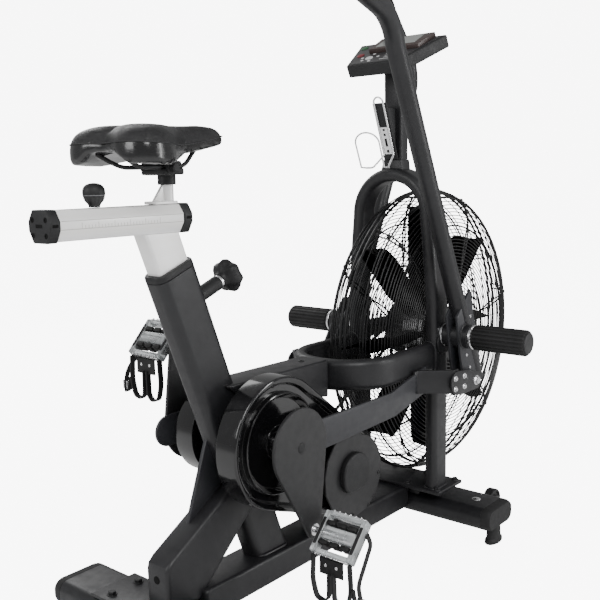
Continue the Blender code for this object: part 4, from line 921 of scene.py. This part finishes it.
def make_arms():
    """The swinging arms: tube, side sheets, pivot hub, screws and foam grip."""
    for side, word in SIDES:
        at = turn_about(ARM_PIVOT, 0.0 if side == RIGHT else ARM_SWING)
        body = "arm_" + word
        path, along = arm_path(side)
        tube = sweep(path, disc(0.0190, 36), Y)
        piece("arm_tube_" + word, [tube], body, PAINT, at=at, replaces=["handle_arm_" + word])
        sheet_outline = [(0.205, 0.520), (0.262, 0.575), (0.322, 0.365), (0.262, 0.350),
                         (0.240, 0.365), (0.222, 0.430)]
        sheets = [slab(sheet_outline, 0.006, side * (ARM_PLANE - 0.0125), "XZ", 0.001, 2),
                  slab(sheet_outline, 0.006, side * (ARM_PLANE + 0.0125), "XZ", 0.001, 2)]
        piece("arm_sheets_" + word, sheets, body, PAINT_GREY, at=at)
        hub = turned([(0.0118, 0.0619), (0.0250, 0.0619), (0.0265, 0.0605), (0.0265, 0.0015), (0.0250, 0),
                      (0.0118, 0)], ARM_PIVOT + Y * side * 0.1271, Y * side, 56)
        weld = hoop(0.0272, 0.0020, ARM_PIVOT + Y * side * 0.1735, 60, 8)
        piece("arm_hub_" + word, [hub, weld], body, PAINT, at=at)
        screws = [screw((x, side * 0.1735, z), Y * side, 0.0038, 0.0018, "round")
                  for x, z in ((0.262, 0.515), (0.248, 0.430), (0.262, 0.400), (0.285, 0.425))]
        piece("arm_screws_" + word, screws, body, STEEL, at=at)
        end = path[-1]
        shapes = [(0.0190, 0.108), (0.0200, 0.107), (0.0207, 0.103), (0.0207, 0.008), (0.0200, 0.001),
                  (0.0175, -0.003), (0, -0.004)]
        grip = turned([(r, h) for r, h in shapes], end + along * 0.002, -along, 48)
        piece("grip_foam_" + word, [grip], body, FOAM, at=at, replaces=["grip_" + word])
        rings = [turned([(0.0192, 0.004), (0.0203, 0.0035), (0.0203, 0.0005), (0.0192, 0)],
                        end - along * 0.1105, along, 44)]
        piece("grip_ring_" + word, rings, body, MATTE, at=at)


def make_pegs():
    """The ribbed foot pegs on the arm pivots."""
    for side, word in SIDES:
        base = ARM_PIVOT
        out = Y * side
        sides = 120
        b = bmesh.new()
        rows = []
        for y, shrink in ((0.1985, 0.9), (0.2005, 1.0), (0.3160, 1.0), (0.3190, 0.93)):
            row = []
            for i in range(sides):
                a = 2 * math.pi * i / sides
                rib = 0.0009 * (1 if (i // 2) % 3 < 2 else -1)
                radius = (0.0270 + rib) * shrink
                row.append(b.verts.new(around(base, radius, a) + out * y))
            rows.append(row)
        ringed(b, rows)
        piece("peg_sleeve_" + word, [b], "frame", RUBBER, sharp=40, replaces=["foot_peg_" + word])
        cap = turned([(0, 0.0228), (0.0205, 0.0228), (0.0225, 0.0220), (0.0232, 0.0195), (0.0232, 0),
                      (0, 0)], base + out * 0.300, out, 56)
        piece("peg_cap_" + word, [cap], "frame", COVER)
        collar = turned([(0.012, 0.0075), (0.0245, 0.0075), (0.0270, 0.0055), (0.0270, 0.0010), (0.0262, 0),
                         (0.012, 0)], base + out * 0.1905, out, 56)
        shaft = bar(0.0110, *across(base, side * 0.1205, side * 0.2000), 40)
        flange = bar(0.0260, *across(base, side * 0.1205, side * 0.1264), 48)
        piece("peg_collar_" + word, [collar, shaft, flange], "frame", STEEL,
              replaces=["pivot_axle_" + word])


def make_links():
    """The link bars, each stepped out to an ear that is bolted to its arm."""
    for side, word in SIDES:
        at = Matrix()
        if side == LEFT:
            at = turn_about(ARM_PIVOT, ARM_SWING) @ turn_about(LEVER_PIN, -LINK_TURN)
        body = "link_" + word
        y = side * 0.1270
        outline = [(0.030, 0.334), (0.148, 0.3605), (0.150, 0.3625), (0.150, 0.416),
                   (0.148, 0.417), (0.017, 0.386)]
        rear = arc((CRANK.x + 0.010, 0.356), 0.030, 90, 270, 16)
        rod = slab(rear + outline, 0.006, y, "XZ", 0.0010, 2)
        piece("link_bar_" + word, [rod], body, PAINT_GREY, at=at, replaces=["link_rod_" + word])
        jog_outline = [(0.105, 0.124), (0.120, 0.124), (0.170, 0.183), (0.185, 0.183), (0.185, 0.189),
                       (0.165, 0.189), (0.115, 0.130), (0.105, 0.130)]
        jog = slab([(x, side * out) for x, out in jog_outline][::side], 0.050, 0.388, "XY", 0.001, 2)
        tip = arc(flat(LEVER_PIN), 0.020, 80, -100, 20)
        ear_outline = [(0.165, 0.409), (0.215, 0.405)] + tip + [(0.205, 0.352), (0.165, 0.358)]
        ear = slab(ear_outline, 0.006, side * 0.1860, "XZ", 0.001, 2)
        pin = bar(0.0060, *across(LEVER_PIN, side * 0.1465, side * 0.1890), 28)
        plate = slab(hull((0.176, 0.384), 0.026, (0.200, 0.382), 0.024, 16), 0.004,
                     side * 0.1905, "XZ", 0.001, 2)
        piece("link_block_" + word, [jog, ear, plate], body, PAINT, at=at)
        bolts = [screw(Vector((x, side * 0.1924, z)), Y * side, 0.0048, 0.0025)
                 for x, z in ((0.166, 0.395), (0.166, 0.372), (0.204, 0.394), (0.204, 0.371))]
        bolts += [screw(LEVER_PIN + Y * side * 0.1888, Y * side, 0.0085, 0.004), pin]
        piece("link_bolts_" + word, bolts, body, STEEL, at=at)


# ---------------------------------------------------------------- seat
def make_post():
    """The sleeve and the post."""
    top = TUBE_TOP
    section = oval(0.0502, 0.0862, 0.017, 8)
    b = sweep([up_seat(top + 0.0012), up_seat(top + 0.006), up_seat(top + 0.010), up_seat(top + 0.012)],
              section, SEAT_OUT)
    for v in b.verts:
        t = ((v.co - up_seat(top)).dot(SEAT_UP) - 0.008) / 0.004
        if t > 0:
            axis = up_seat((v.co - SEAT_FOOT).dot(SEAT_UP))
            v.co = axis + (v.co - axis) * (1 - 0.05 * t * t)
    piece("sleeve_collar", [b], "frame", MATTE, replaces=["seat_sleeve"])
    tail = sweep([up_seat(top - 0.050), up_seat(top + 0.006)], oval(0.0440, 0.0800, 0.012, 6), SEAT_OUT)
    piece("sleeve_tail", [tail], "frame", MATTE)
    post = sweep([up_seat(0.300), up_seat(0.45), up_seat(0.60), up_seat(0.690)],
                 oval(0.034, 0.068, 0.0045, 5), SEAT_OUT)
    bmesh.ops.bisect_plane(post, geom=post.verts[:] + post.edges[:] + post.faces[:],
                           plane_co=(0, 0, RAIL_Z - 0.0232), plane_no=(0, 0, 1), clear_outer=True)
    bmesh.ops.holes_fill(post, edges=post.edges[:])
    piece("post_tube", [post], "seat_post", CHROME, replaces=["seat_post"])
    # Thin near-black discs on the post: painted shade standing in for the dark inside of its adjustment holes.
    holes = [turned([(0, 0.0006), (0.0060, 0.0006), (0.0064, 0), (0, 0)],
                    up_seat(0.627 + 0.030 * i, 0.0338), SEAT_OUT, 24) for i in range(2)]
    piece("post_hole_shade", holes, "seat_post", HOLE_SHADE)


def rail_section(wide, tall):
    y, z, c = wide / 2, tall / 2, 0.0105
    return [(y, -0.006), (y, 0.008), (y - c, z), (c - y, z), (-y, 0.008), (-y, -0.006),
            (-y + c, -z), (y - c, -z)]


def make_rail():
    """The slider rail with its caps and scale, and painted shade for its slot and grooves."""
    rear, front = RAIL_REAR, RAIL_FRONT
    section = rail_section(0.052, 0.046)
    body = slab([(y, RAIL_Z + z) for y, z in section], front - rear, (front + rear) / 2, "YZ", 0.0012, 3)
    piece("rail_extrusion", [body], "seat_post", ALU, replaces=["slider_rail"])
    # A thin near-black strip on the rail top: painted shade standing in for the dark inside of the slot.
    slot = cuboid((front - rear - 0.03, 0.0125, 0.0008), ((front + rear) / 2, 0, RAIL_Z + 0.0231),
                  None, 0.0002, 1)
    piece("rail_slot_shade", [slot], "seat_post", HOLE_SHADE)
    for word, x, side in (("rear", rear, -1), ("front", front, 1)):
        cap = slab([(y, RAIL_Z + z) for y, z in rail_section(0.055, 0.049)], 0.0183, x + side * 0.0095,
                   "YZ", 0.0018, 3)
        piece("rail_cap_" + word, [cap], "seat_post", MATTE, replaces=["slider_cap_" + word])
        face = x + side * 0.0187
        # The screw heads take the near-black painted hole shade.
        marks = [screw((face - side * 0.0004, y, RAIL_Z + z), X * side, 0.0042, 0.0014, "round")
                 for y in (-0.0165, 0.0165) for z in (-0.013, 0.010)]
        piece("rail_cap_screws_" + word, marks, "seat_post", HOLE_SHADE)
        # The notch and side slots are thin near-black pieces: painted shade standing in for the dark inside of the
        # slots.
        notch = cuboid((0.0009, 0.016, 0.0052), (face, 0, RAIL_Z + 0.001), None, 0.0003, 1)
        sides = [cuboid((0.0095, 0.0012, 0.0045), (x + side * 0.0095, y, RAIL_Z + 0.001), None, 0.0003, 1)
                 for y in (-0.0276, 0.0276)]
        piece("rail_cap_slot_shade_" + word, [notch] + sides, "seat_post", HOLE_SHADE)
    ticks = []
    for i in range(26):
        x = -0.640 + 0.006 * i
        tall = 0.0085 if i % 5 == 0 else 0.0045
        ticks.append(cuboid((0.0007, 0.0003, tall), (x, -0.0261, RAIL_Z - 0.0045 + tall / 2), None))
    piece("rail_scale_ticks", ticks, "seat_post", PRINT_AND_GROOVE_SHADE)
    # Thin grey strips along the rail side: painted shade standing in for the dark of the grooves.
    groove = [cuboid((front - rear - 0.002, 0.0006, 0.0012), ((front + rear) / 2, -0.0259, RAIL_Z + z),
                     None, 0.0002, 1) for z in (-0.0052, 0.0072)]
    piece("rail_groove_shade", groove, "seat_post", PRINT_AND_GROOVE_SHADE)


def lobed(profile, place, axis, lobes, depth):
    """A turned knob whose widest part is waved into lobes."""
    b = turned(profile, (0, 0, 0), Z, 96)
    widest = max(point[0] for point in profile)
    for v in b.verts:
        radius = math.hypot(v.co.x, v.co.y)
        if radius > widest * 0.6:
            turn = lobes * math.atan2(v.co.y, v.co.x)
            wave = 1 - depth / widest * (0.5 + 0.5 * math.cos(turn)) * (radius / widest)
            v.co.x *= wave
            v.co.y *= wave
    b.transform(Matrix.Translation(place) @ Z.rotation_difference(Vector(axis)).to_matrix().to_4x4())
    return b


def make_knobs():
    """The lobed height knob and the ball knob on the rail."""
    home = up_seat(KNOB_UP, 0.043)
    knob = lobed([(0, 0.0945), (0.008, 0.0945), (0.0205, 0.0925), (0.0285, 0.0875), (0.0318, 0.0800),
                  (0.0312, 0.0730), (0.0265, 0.0665), (0.0180, 0.0635),
                  (0.0150, 0.0600), (0.0138, 0.0555), (0, 0.0555)], home, SEAT_OUT, 7, 0.0042)
    piece("height_knob_head", [knob], "height_knob", MATTE, sharp=45, replaces=["height_knob"])
    ring = turned([(0, 0.0560), (0.0115, 0.0560), (0.0124, 0.0550), (0.0124, 0.0505), (0.0115, 0.0495),
                   (0, 0.0495)], home, SEAT_OUT, 48)
    piece("height_knob_ring", [ring], "height_knob", STEEL)
    stem = turned([(0, 0.0500), (0.0122, 0.0500), (0.0134, 0.0488), (0.0134, 0.0004), (0, 0.0004)],
                  home, SEAT_OUT, 48)
    piece("height_knob_stem", [stem], "height_knob", MATTE)
    place = Vector((SADDLE_X - 0.105, 0, RAIL_Z))
    ball = turned([(0, 0.0612), (0.0060, 0.0606), (0.0112, 0.0588), (0.0150, 0.0555), (0.0170, 0.0510),
                   (0.0174, 0.0460), (0.0170, 0.0428), (0, 0.0428)],
                  place, Z, 56)
    piece("ball_knob", [ball], "slider_knob", MATTE, sharp=60, replaces=["slider_knob"])
    skirt = lobed([(0, 0.0420), (0.0166, 0.0420), (0.0160, 0.0380), (0.0140, 0.0335), (0.0108, 0.0300),
                   (0.0090, 0.0270), (0.0086, 0.0242), (0, 0.0242)], place, Z, 14, 0.0012)
    piece("ball_knob_skirt", [skirt], "slider_knob", COVER, sharp=50)
    collar = turned([(0, 0.0430), (0.0168, 0.0430), (0.0172, 0.0426), (0.0172, 0.0420), (0.0166, 0.0416),
                     (0, 0.0416)], place, Z, 56)
    piece("ball_knob_band", [collar], "slider_knob", BAND)


SADDLE_SHAPE = [(0.165, 0.0), (0.163, 0.018), (0.152, 0.0280), (0.120, 0.0325), (0.080, 0.0370),
                (0.040, 0.0460), (0.000, 0.0680),
                (-0.035, 0.0880), (-0.068, 0.0985), (-0.098, 0.0950), (-0.117, 0.0740), (-0.121, 0.0450),
                (-0.114, 0.0180), (-0.110, 0.0)]


def saddle_loop(scale, steps=140):
    """The outline as an even closed loop in the saddle's own plane."""
    half = [Vector((x, y, 0)) for x, y in SADDLE_SHAPE]
    full = half + [Vector((p.x, -p.y, 0)) for p in half[-2:0:-1]]
    curve = []
    n = len(full)
    for i in range(n):
        p0, p1, p2, p3 = full[i - 1], full[i], full[(i + 1) % n], full[(i + 2) % n]
        for k in range(8):
            t = k / 8
            curve.append(0.5 * ((2 * p1) + (p2 - p0) * t + (2 * p0 - 5 * p1 + 4 * p2 - p3) * t * t +
                                (3 * p1 - p0 - 3 * p2 + p3) * t ** 3))
    lengths = [0.0]
    for i in range(len(curve)):
        lengths.append(lengths[-1] + (curve[(i + 1) % len(curve)] - curve[i]).length)
    out, i = [], 0
    for k in range(steps):
        want = lengths[-1] * k / steps
        while lengths[i + 1] < want:
            i += 1
        t = (want - lengths[i]) / max(1e-9, lengths[i + 1] - lengths[i])
        out.append(curve[i % len(curve)].lerp(curve[(i + 1) % len(curve)], t) * scale)
    return out


def smooth(t):
    t = max(0.0, min(1.0, t))
    return t * t * (3 - 2 * t)


def saddle_rise(x):
    """The nose rises, the middle dips and the tail lifts."""
    return 0.018 * max(0.0, (x - 0.02) / 0.145) ** 1.5 + 0.004 * max(0.0, (-x - 0.03) / 0.09) ** 1.5


def saddle_thin(x):
    """The pad gets a little thinner towards the nose."""
    return 1 - 0.15 * smooth((x - 0.02) / 0.10)


def saddle_hang(x, y):
    """How far the padded sides hang down: most at the two rear lobes, least at the nose and mid tail."""
    lobe = smooth((abs(y) - 0.022) / 0.045)
    return 0.016 + 0.0195 * smooth((0.045 - x) / 0.090) * max(lobe, smooth((x + 0.070) / 0.03))


def make_saddle():
    """The padded saddle, its seam, pan, wire rails, clamp and stub."""
    base_x, base_z = SADDLE_X + 0.012, 0.8845
    loops = []
    b = bmesh.new()
    steps = 140
    for scale, part, lift in ((0.900, 1.0, 0.002), (0.955, 1.0, 0.0), (0.995, 0.93, 0.0),
                              (1.012, 0.70, 0.0), (1.012, 0.35, 0.0), (1.000, 0.0, -0.003),
                              (0.975, 0.0, 0.005),
                              (0.93, 0.0, 0.0125), (0.86, 0.0, 0.0185), (0.76, 0.0, 0.0228),
                              (0.62, 0.0, 0.0260), (0.46, 0.0, 0.0275), (0.30, 0.0, 0.0280),
                              (0.14, 0.0, 0.0280)):
        row = []
        for p in saddle_loop(scale, steps):
            groove = 0.0
            if part == 0.0 and scale < 0.9:
                groove = -0.0060 * math.exp(-(p.y / 0.0085) ** 2) * smooth((0.10 - p.x) / 0.05)
            row.append(b.verts.new((p.x * SADDLE_STRETCH, p.y,
                                    lift * saddle_thin(p.x) + groove + saddle_rise(p.x) - part *
                                    saddle_hang(p.x, p.y))))
        loops.append(row)
    ringed(b, loops)
    bmesh.ops.recalc_face_normals(b, faces=b.faces)
    bmesh.ops.triangulate(b, faces=[f for f in b.faces if len(f.verts) > 4])
    mesh = bpy.data.meshes.new("saddle_pad")
    b.to_mesh(mesh)
    b.free()
    pad = bpy.data.objects.new("saddle_pad", mesh)
    pad.location = (base_x, 0, base_z)
    bpy.context.scene.collection.objects.link(pad)
    bpy.context.view_layer.update()
    mesh.transform(pad.matrix_world)
    pad.matrix_world = Matrix()
    inflate(pad, 0.0045, 2.0, 0.0025)
    mesh = pad.data
    mesh.materials.clear()
    mesh.materials.append(VINYL)
    mesh.materials.append(VINYL_SIDE)
    for polygon in mesh.polygons:
        c = polygon.center
        height = c.z - base_z - saddle_rise((c.x - base_x) / SADDLE_STRETCH)
        polygon.material_index = 1 if height < -0.002 else 0
    mesh.shade_smooth()
    sub = pad.modifiers.new("smooth", "SUBSURF")
    sub.levels = sub.render_levels = 1
    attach(pad, "saddle_slide")
    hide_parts("saddle_cushion")
    seam = [Vector((base_x + p.x * SADDLE_STRETCH, p.y,
                    base_z - 0.0022 * saddle_thin(p.x) + saddle_rise(p.x)))
            for p in saddle_loop(1.001, 200)]
    piece("saddle_seam", [sweep(seam, disc(0.0010, 8), Z, True)], "saddle_slide", THREAD)
    pb = bmesh.new()
    rows = []
    for scale, z in ((0.60, -0.004), (0.86, -0.004), (0.885, -0.007), (0.875, -0.011), (0.82, -0.012),
                     (0.60, -0.011)):
        rows.append([pb.verts.new((base_x + p.x * SADDLE_STRETCH, p.y, base_z + z + saddle_rise(p.x)))
                     for p in saddle_loop(scale, 120)])
    ringed(pb, rows)
    piece("saddle_pan", [pb], "saddle_slide", MATTE, sharp=50, replaces=["saddle_base"])
    screws = [screw((base_x + x, y, base_z - 0.0115), -Z, 0.0045, 0.002, "round")
              for x, y in ((-0.078, 0.045), (-0.078, -0.045), (0.010, 0.030), (0.010, -0.030))]
    piece("saddle_screws", screws, "saddle_slide", STEEL)
    wires = []
    for side in (1, -1):
        half = [(0.110, 0.009, 0.040), (0.090, 0.013, 0.024), (0.062, 0.021, 0.0005),
                (-0.030, 0.021, 0.0005), (-0.050, 0.024, 0.008), (-0.070, 0.034, 0.022)]
        wires.append(sweep(rounded([(SADDLE_X + x, side * y, SADDLE_Z + z) for x, y, z in half], 0.018, 7),
                           disc(0.0036, 14)))
    piece("saddle_wires", wires, "saddle_slide", MATTE, replaces=["saddle_rails"])
    x = STUB_X - 0.008
    clamp = [cuboid((0.044, 0.058, 0.011), (x, 0, SADDLE_Z - 0.0065), None, 0.003, 3),
             cuboid((0.038, 0.054, 0.008), (x, 0, SADDLE_Z + 0.0065), None, 0.003, 3),
             bar(0.0150, (STUB_X, 0, SADDLE_Z - 0.028), (STUB_X, 0, SADDLE_Z - 0.010), 40),
             bar(0.0125, (x - 0.006, -0.0335, SADDLE_Z), (x - 0.006, 0.0335, SADDLE_Z), 32)]
    piece("saddle_clamp_parts", clamp, "saddle_slide", MATTE, replaces=["saddle_clamp"])
    nuts = [screw((x - 0.006, side * 0.0335, SADDLE_Z), Y * side, 0.0085, 0.005) for side in (RIGHT, LEFT)]
    piece("saddle_clamp_nuts", nuts, "saddle_slide", MATTE)
    stub = [bar(0.0105, (STUB_X, 0, RAIL_Z + 0.0235), (STUB_X, 0, SADDLE_Z - 0.012), 40),
            cuboid((0.048, 0.030, 0.005), (STUB_X - 0.0140, 0, RAIL_Z + 0.0262), None, 0.0015, 3),
            slab([(STUB_X - 0.006, RAIL_Z + 0.028), (STUB_X - 0.006, RAIL_Z + 0.062),
                  (STUB_X - 0.032, RAIL_Z + 0.028)], 0.006, 0, "XZ", 0.0006, 2)]
    piece("saddle_stub", stub, "saddle_slide", CHROME, replaces=["slider_carriage"])


def inflate(thing, voxel, pressure, cap):
    """Cloth pressure on a remeshed copy, each point kept within cap of where it started."""
    bpy.context.view_layer.objects.active = thing
    remesh = thing.modifiers.new("remesh", "REMESH")
    remesh.mode = "VOXEL"
    remesh.voxel_size = voxel
    bpy.context.view_layer.update()
    mesh = bpy.data.meshes.new_from_object(thing.evaluated_get(bpy.context.evaluated_depsgraph_get()))
    thing.modifiers.clear()
    thing.data = mesh
    start = [v.co.copy() for v in mesh.vertices]
    cloth = thing.modifiers.new("cloth", "CLOTH")
    cloth.settings.use_pressure = True
    cloth.settings.uniform_pressure_force = pressure
    cloth.settings.effector_weights.gravity = 0
    cloth.settings.quality = 5
    cloth.point_cache.frame_start = 1
    cloth.point_cache.frame_end = 16
    for step in range(1, 17):
        bpy.context.scene.frame_set(step)
    swollen = bpy.data.meshes.new_from_object(thing.evaluated_get(bpy.context.evaluated_depsgraph_get()))
    thing.modifiers.clear()
    for vertex, first in zip(swollen.vertices, start):
        move = vertex.co - first
        if move.length > cap:
            vertex.co = first + move.normalized() * cap
    thing.data = swollen
    bpy.context.scene.frame_set(1)


# ---------------------------------------------------------------- console and bottle cage
def make_console():
    """The flared console with its display block, marks and three keys."""
    outline = [(-0.067, -0.069), (0.067, -0.113), (0.067, 0.113), (-0.067, 0.069)]
    piece("console_shell", [slab(outline, 0.028, 0, "XY", 0.0035, 4)], "frame", MATTE,
          at=CONSOLE, replaces=["console_housing"])
    panel = [(-0.062, -0.064), (0.061, -0.106), (0.061, 0.106), (-0.062, 0.064)]
    piece("console_panel", [slab(panel, 0.0010, 0.0143, "XY", 0.0003, 1)], "frame", PANEL,
          at=CONSOLE)
    display = [(-0.005, -0.082), (0.060, -0.090), (0.060, 0.048), (-0.005, 0.045)]
    piece("display_block", [slab(display, 0.011, 0.0195, "XY", 0.0015, 3)], "frame", LEDGE,
          at=CONSOLE)
    piece("console_display", [cuboid((0.048, 0.100, 0.0008), (0.028, -0.019, 0.0252), None, 0.0003, 1)],
          "frame", SCREEN, at=CONSOLE)
    marks = []
    for x, y in ((-0.030, 0.048), (-0.045, 0.040), (-0.010, 0.028), (-0.028, 0.008), (-0.052, 0.018)):
        marks.append(turned([(0, 0.0004), (0.0032, 0.0004), (0.0034, 0), (0, 0)], (x, y, 0.0148), Z, 28))
    for i in range(4):
        marks.append(cuboid((0.0014, 0.030 - 0.005 * (i % 3), 0.0004),
                            (-0.018 - 0.010 * i, -0.022, 0.0149), None))
    piece("console_marks", marks, "frame", MARK, at=CONSOLE)
    for word, x, y, look, slot in (("start", 0.037, 0.084, GREEN, "green_button"),
                                   ("stop", -0.012, 0.064, RED, "red_button"),
                                   ("mode", -0.036, 0.026, KEY, "grey_button")):
        key = turned([(0, 0.0034), (0.0070, 0.0033), (0.0085, 0.0026), (0.0088, 0.0016), (0.0088, -0.0010),
                      (0, -0.0010)], (x, y, 0.0140), Z, 48)
        piece(word + "_key", [key], word + "_button", look, at=CONSOLE, replaces=[word + "_button"])


def make_bottle_cage():
    """A leaning bracket with a narrow loop, a slotted strip, a bent foot and a wide thin hoop."""
    low, high = Vector((0.2120, 0, 0.8617)), Vector((0.1674, 0, 0.9817))
    up = (high - low).normalized()
    out = Vector((-up.z, 0, up.x))
    mid = (low + high) / 2
    turn = Matrix((up, Y, up.cross(Y))).transposed()
    backing = cuboid(((high - low).length, 0.036, 0.004), mid, turn, 0.0008, 2)
    prop = slab([(0.170, 0.972), (0.219, 0.972), (0.219, 0.868), (0.209, 0.868)], 0.020, 0, "XZ", 0.001, 2)
    piece("cage_backing", [backing, prop], "frame", MATTE, replaces=["bottle_cage"])
    foot = low + up * 0.012 + out * 0.004
    reach = Vector((0.1700, 0, 0.8430))
    loop = [foot + Y * 0.012 + up * 0.001]
    loop += [foot + up * 0.118 + Y * 0.012 * math.cos(a) + up * 0.012 * math.sin(a)
             for a in [math.pi * k / 12 for k in range(13)]]
    loop += [foot - Y * 0.012 + up * 0.001]
    path = rounded([foot + Y * 0.012 + up * 0.02, foot + Y * 0.012, reach + Y * 0.020,
                    reach + Y * 0.030 - X * 0.012], 0.006, 5)
    other = rounded([foot - Y * 0.012 + up * 0.02, foot - Y * 0.012, reach - Y * 0.020,
                     reach - Y * 0.030 - X * 0.012], 0.006, 5)
    knee = reach - X * 0.030
    hoop_path = [reach - X * 0.012 + Y * 0.030, knee + Y * 0.030 + Z * 0.001, knee + Y * 0.031 + up * 0.055]
    hoop_path += [knee + up * 0.055 + Y * 0.031 * math.cos(a) + up * 0.024 * math.sin(a)
                  for a in [math.pi * k / 20 for k in range(1, 20)]]
    hoop_path += [knee - Y * 0.031 + up * 0.055, knee - Y * 0.030 + Z * 0.001,
                  reach - X * 0.012 - Y * 0.030]
    wires = [sweep(loop, disc(0.0021, 12)), sweep(path, disc(0.0021, 12)), sweep(other, disc(0.0021, 12)),
             sweep(hoop_path, disc(0.0019, 12))]
    piece("cage_wires", wires, "frame", STRAP_METAL)
    strip = cuboid((0.062, 0.019, 0.0016), foot + up * 0.032 + out * 0.0005, turn, 0.0005, 1)
    piece("cage_strip", [strip], "frame", STRAP_METAL)
    # Thin near-black pieces on the strip: painted shade standing in for the dark inside of its slots.
    slots = [cuboid((size, 0.0052, 0.0008), foot + up * at + out * 0.0016, turn, 0.0002, 1)
             for at, size in ((0.008, 0.006), (0.028, 0.018), (0.046, 0.005), (0.057, 0.004))]
    piece("cage_slot_shade", slots, "frame", HOLE_SHADE)


# ---------------------------------------------------------------- stage, light and camera
def area(name, place, target, size, power, size_y=None):
    light = bpy.data.lights.new(name, "AREA")
    light.energy = power
    light.size = size
    if size_y:
        light.shape = "RECTANGLE"
        light.size_y = size_y
    made = bpy.data.objects.new(name, light)
    made.location = place
    made.rotation_euler = (Vector(target) - Vector(place)).to_track_quat("-Z", "Y").to_euler()
    bpy.context.scene.collection.objects.link(made)
    return made


def make_stage():
    """The floor, the world and the lights."""
    floor = bpy.data.meshes.new("floor")
    b = bmesh.new()
    bmesh.ops.create_grid(b, x_segments=1, y_segments=1, size=30)
    b.to_mesh(floor)
    b.free()
    made = bpy.data.objects.new("floor", floor)
    made.location = (0, 0, -0.0005)
    bpy.context.scene.collection.objects.link(made)
    look, nodes, links, shader = tree("floor_paper")
    tone = mix(nodes, links, noise(nodes, links, 2.0), (0.86, 0.86, 0.86), (0.90, 0.90, 0.90))
    links.new(tone, shader.inputs["Base Color"])
    shader.inputs["Roughness"].default_value = 0.9
    shader.inputs["Emission Color"].default_value = (1, 1, 1, 1)
    seen = nodes.new("ShaderNodeLightPath")
    glow = nodes.new("ShaderNodeMapRange")
    glow.inputs["To Min"].default_value = 0.08
    glow.inputs["To Max"].default_value = 7.7
    links.new(seen.outputs["Is Camera Ray"], glow.inputs["Value"])
    links.new(glow.outputs["Result"], shader.inputs["Emission Strength"])
    floor.materials.append(look)
    world = bpy.data.worlds.new("studio")
    bpy.context.scene.world = world
    world.use_nodes = True
    back = world.node_tree.nodes["Background"]
    back.inputs["Color"].default_value = (1, 1, 1, 1)
    seen = world.node_tree.nodes.new("ShaderNodeLightPath")
    glow = world.node_tree.nodes.new("ShaderNodeMapRange")
    glow.inputs["To Min"].default_value = 0.42
    glow.inputs["To Max"].default_value = 8.0
    world.node_tree.links.new(seen.outputs["Is Camera Ray"], glow.inputs["Value"])
    world.node_tree.links.new(glow.outputs["Result"], back.inputs["Strength"])
    area("key", (-1.6, -2.2, 2.6), (0, 0, 0.5), 1.4, 60)
    area("side_strip", (1.4, -2.4, 1.3), (0.1, 0, 0.5), 0.4, 34, 2.0)
    area("rear_fill", (-2.6, 0.6, 1.6), (-0.4, 0, 0.7), 1.2, 26)
    area("back_fill", (0.6, 2.6, 2.2), (0, 0, 0.6), 1.6, 26)


def make_camera():
    """The view that the looks were matched from."""
    lens = bpy.data.cameras.new("camera")
    lens.lens = 51.0
    lens.sensor_width = 36.0
    lens.clip_start = 0.05
    made = bpy.data.objects.new("camera", lens)
    bpy.context.scene.collection.objects.link(made)
    yaw, pitch, roll = math.radians(40.03), math.radians(8.47), math.radians(-1.165)
    ahead = Vector((math.cos(yaw) * math.cos(pitch), math.sin(yaw) * math.cos(pitch), -math.sin(pitch)))
    right = Vector((math.sin(yaw), -math.cos(yaw), 0))
    up = right.cross(ahead)
    cam_right = right * math.cos(roll) + up * math.sin(roll)
    cam_up = up * math.cos(roll) - right * math.sin(roll)
    rows = Matrix((cam_right, cam_up, -ahead)).transposed()
    made.matrix_world = Matrix.Translation((-1.3955, -1.076, 0.834)) @ rows.to_4x4()
    bpy.context.scene.camera = made


make_cage()
make_fan()
make_front()
make_mast()
make_base()
make_stabilisers()
make_cases()
make_cranks()
make_pedals()
make_arms()
make_pegs()
make_links()
make_post()
make_rail()
make_knobs()
make_saddle()
make_console()
make_bottle_cage()
make_stage()
make_camera()
bpy.context.view_layer.update()
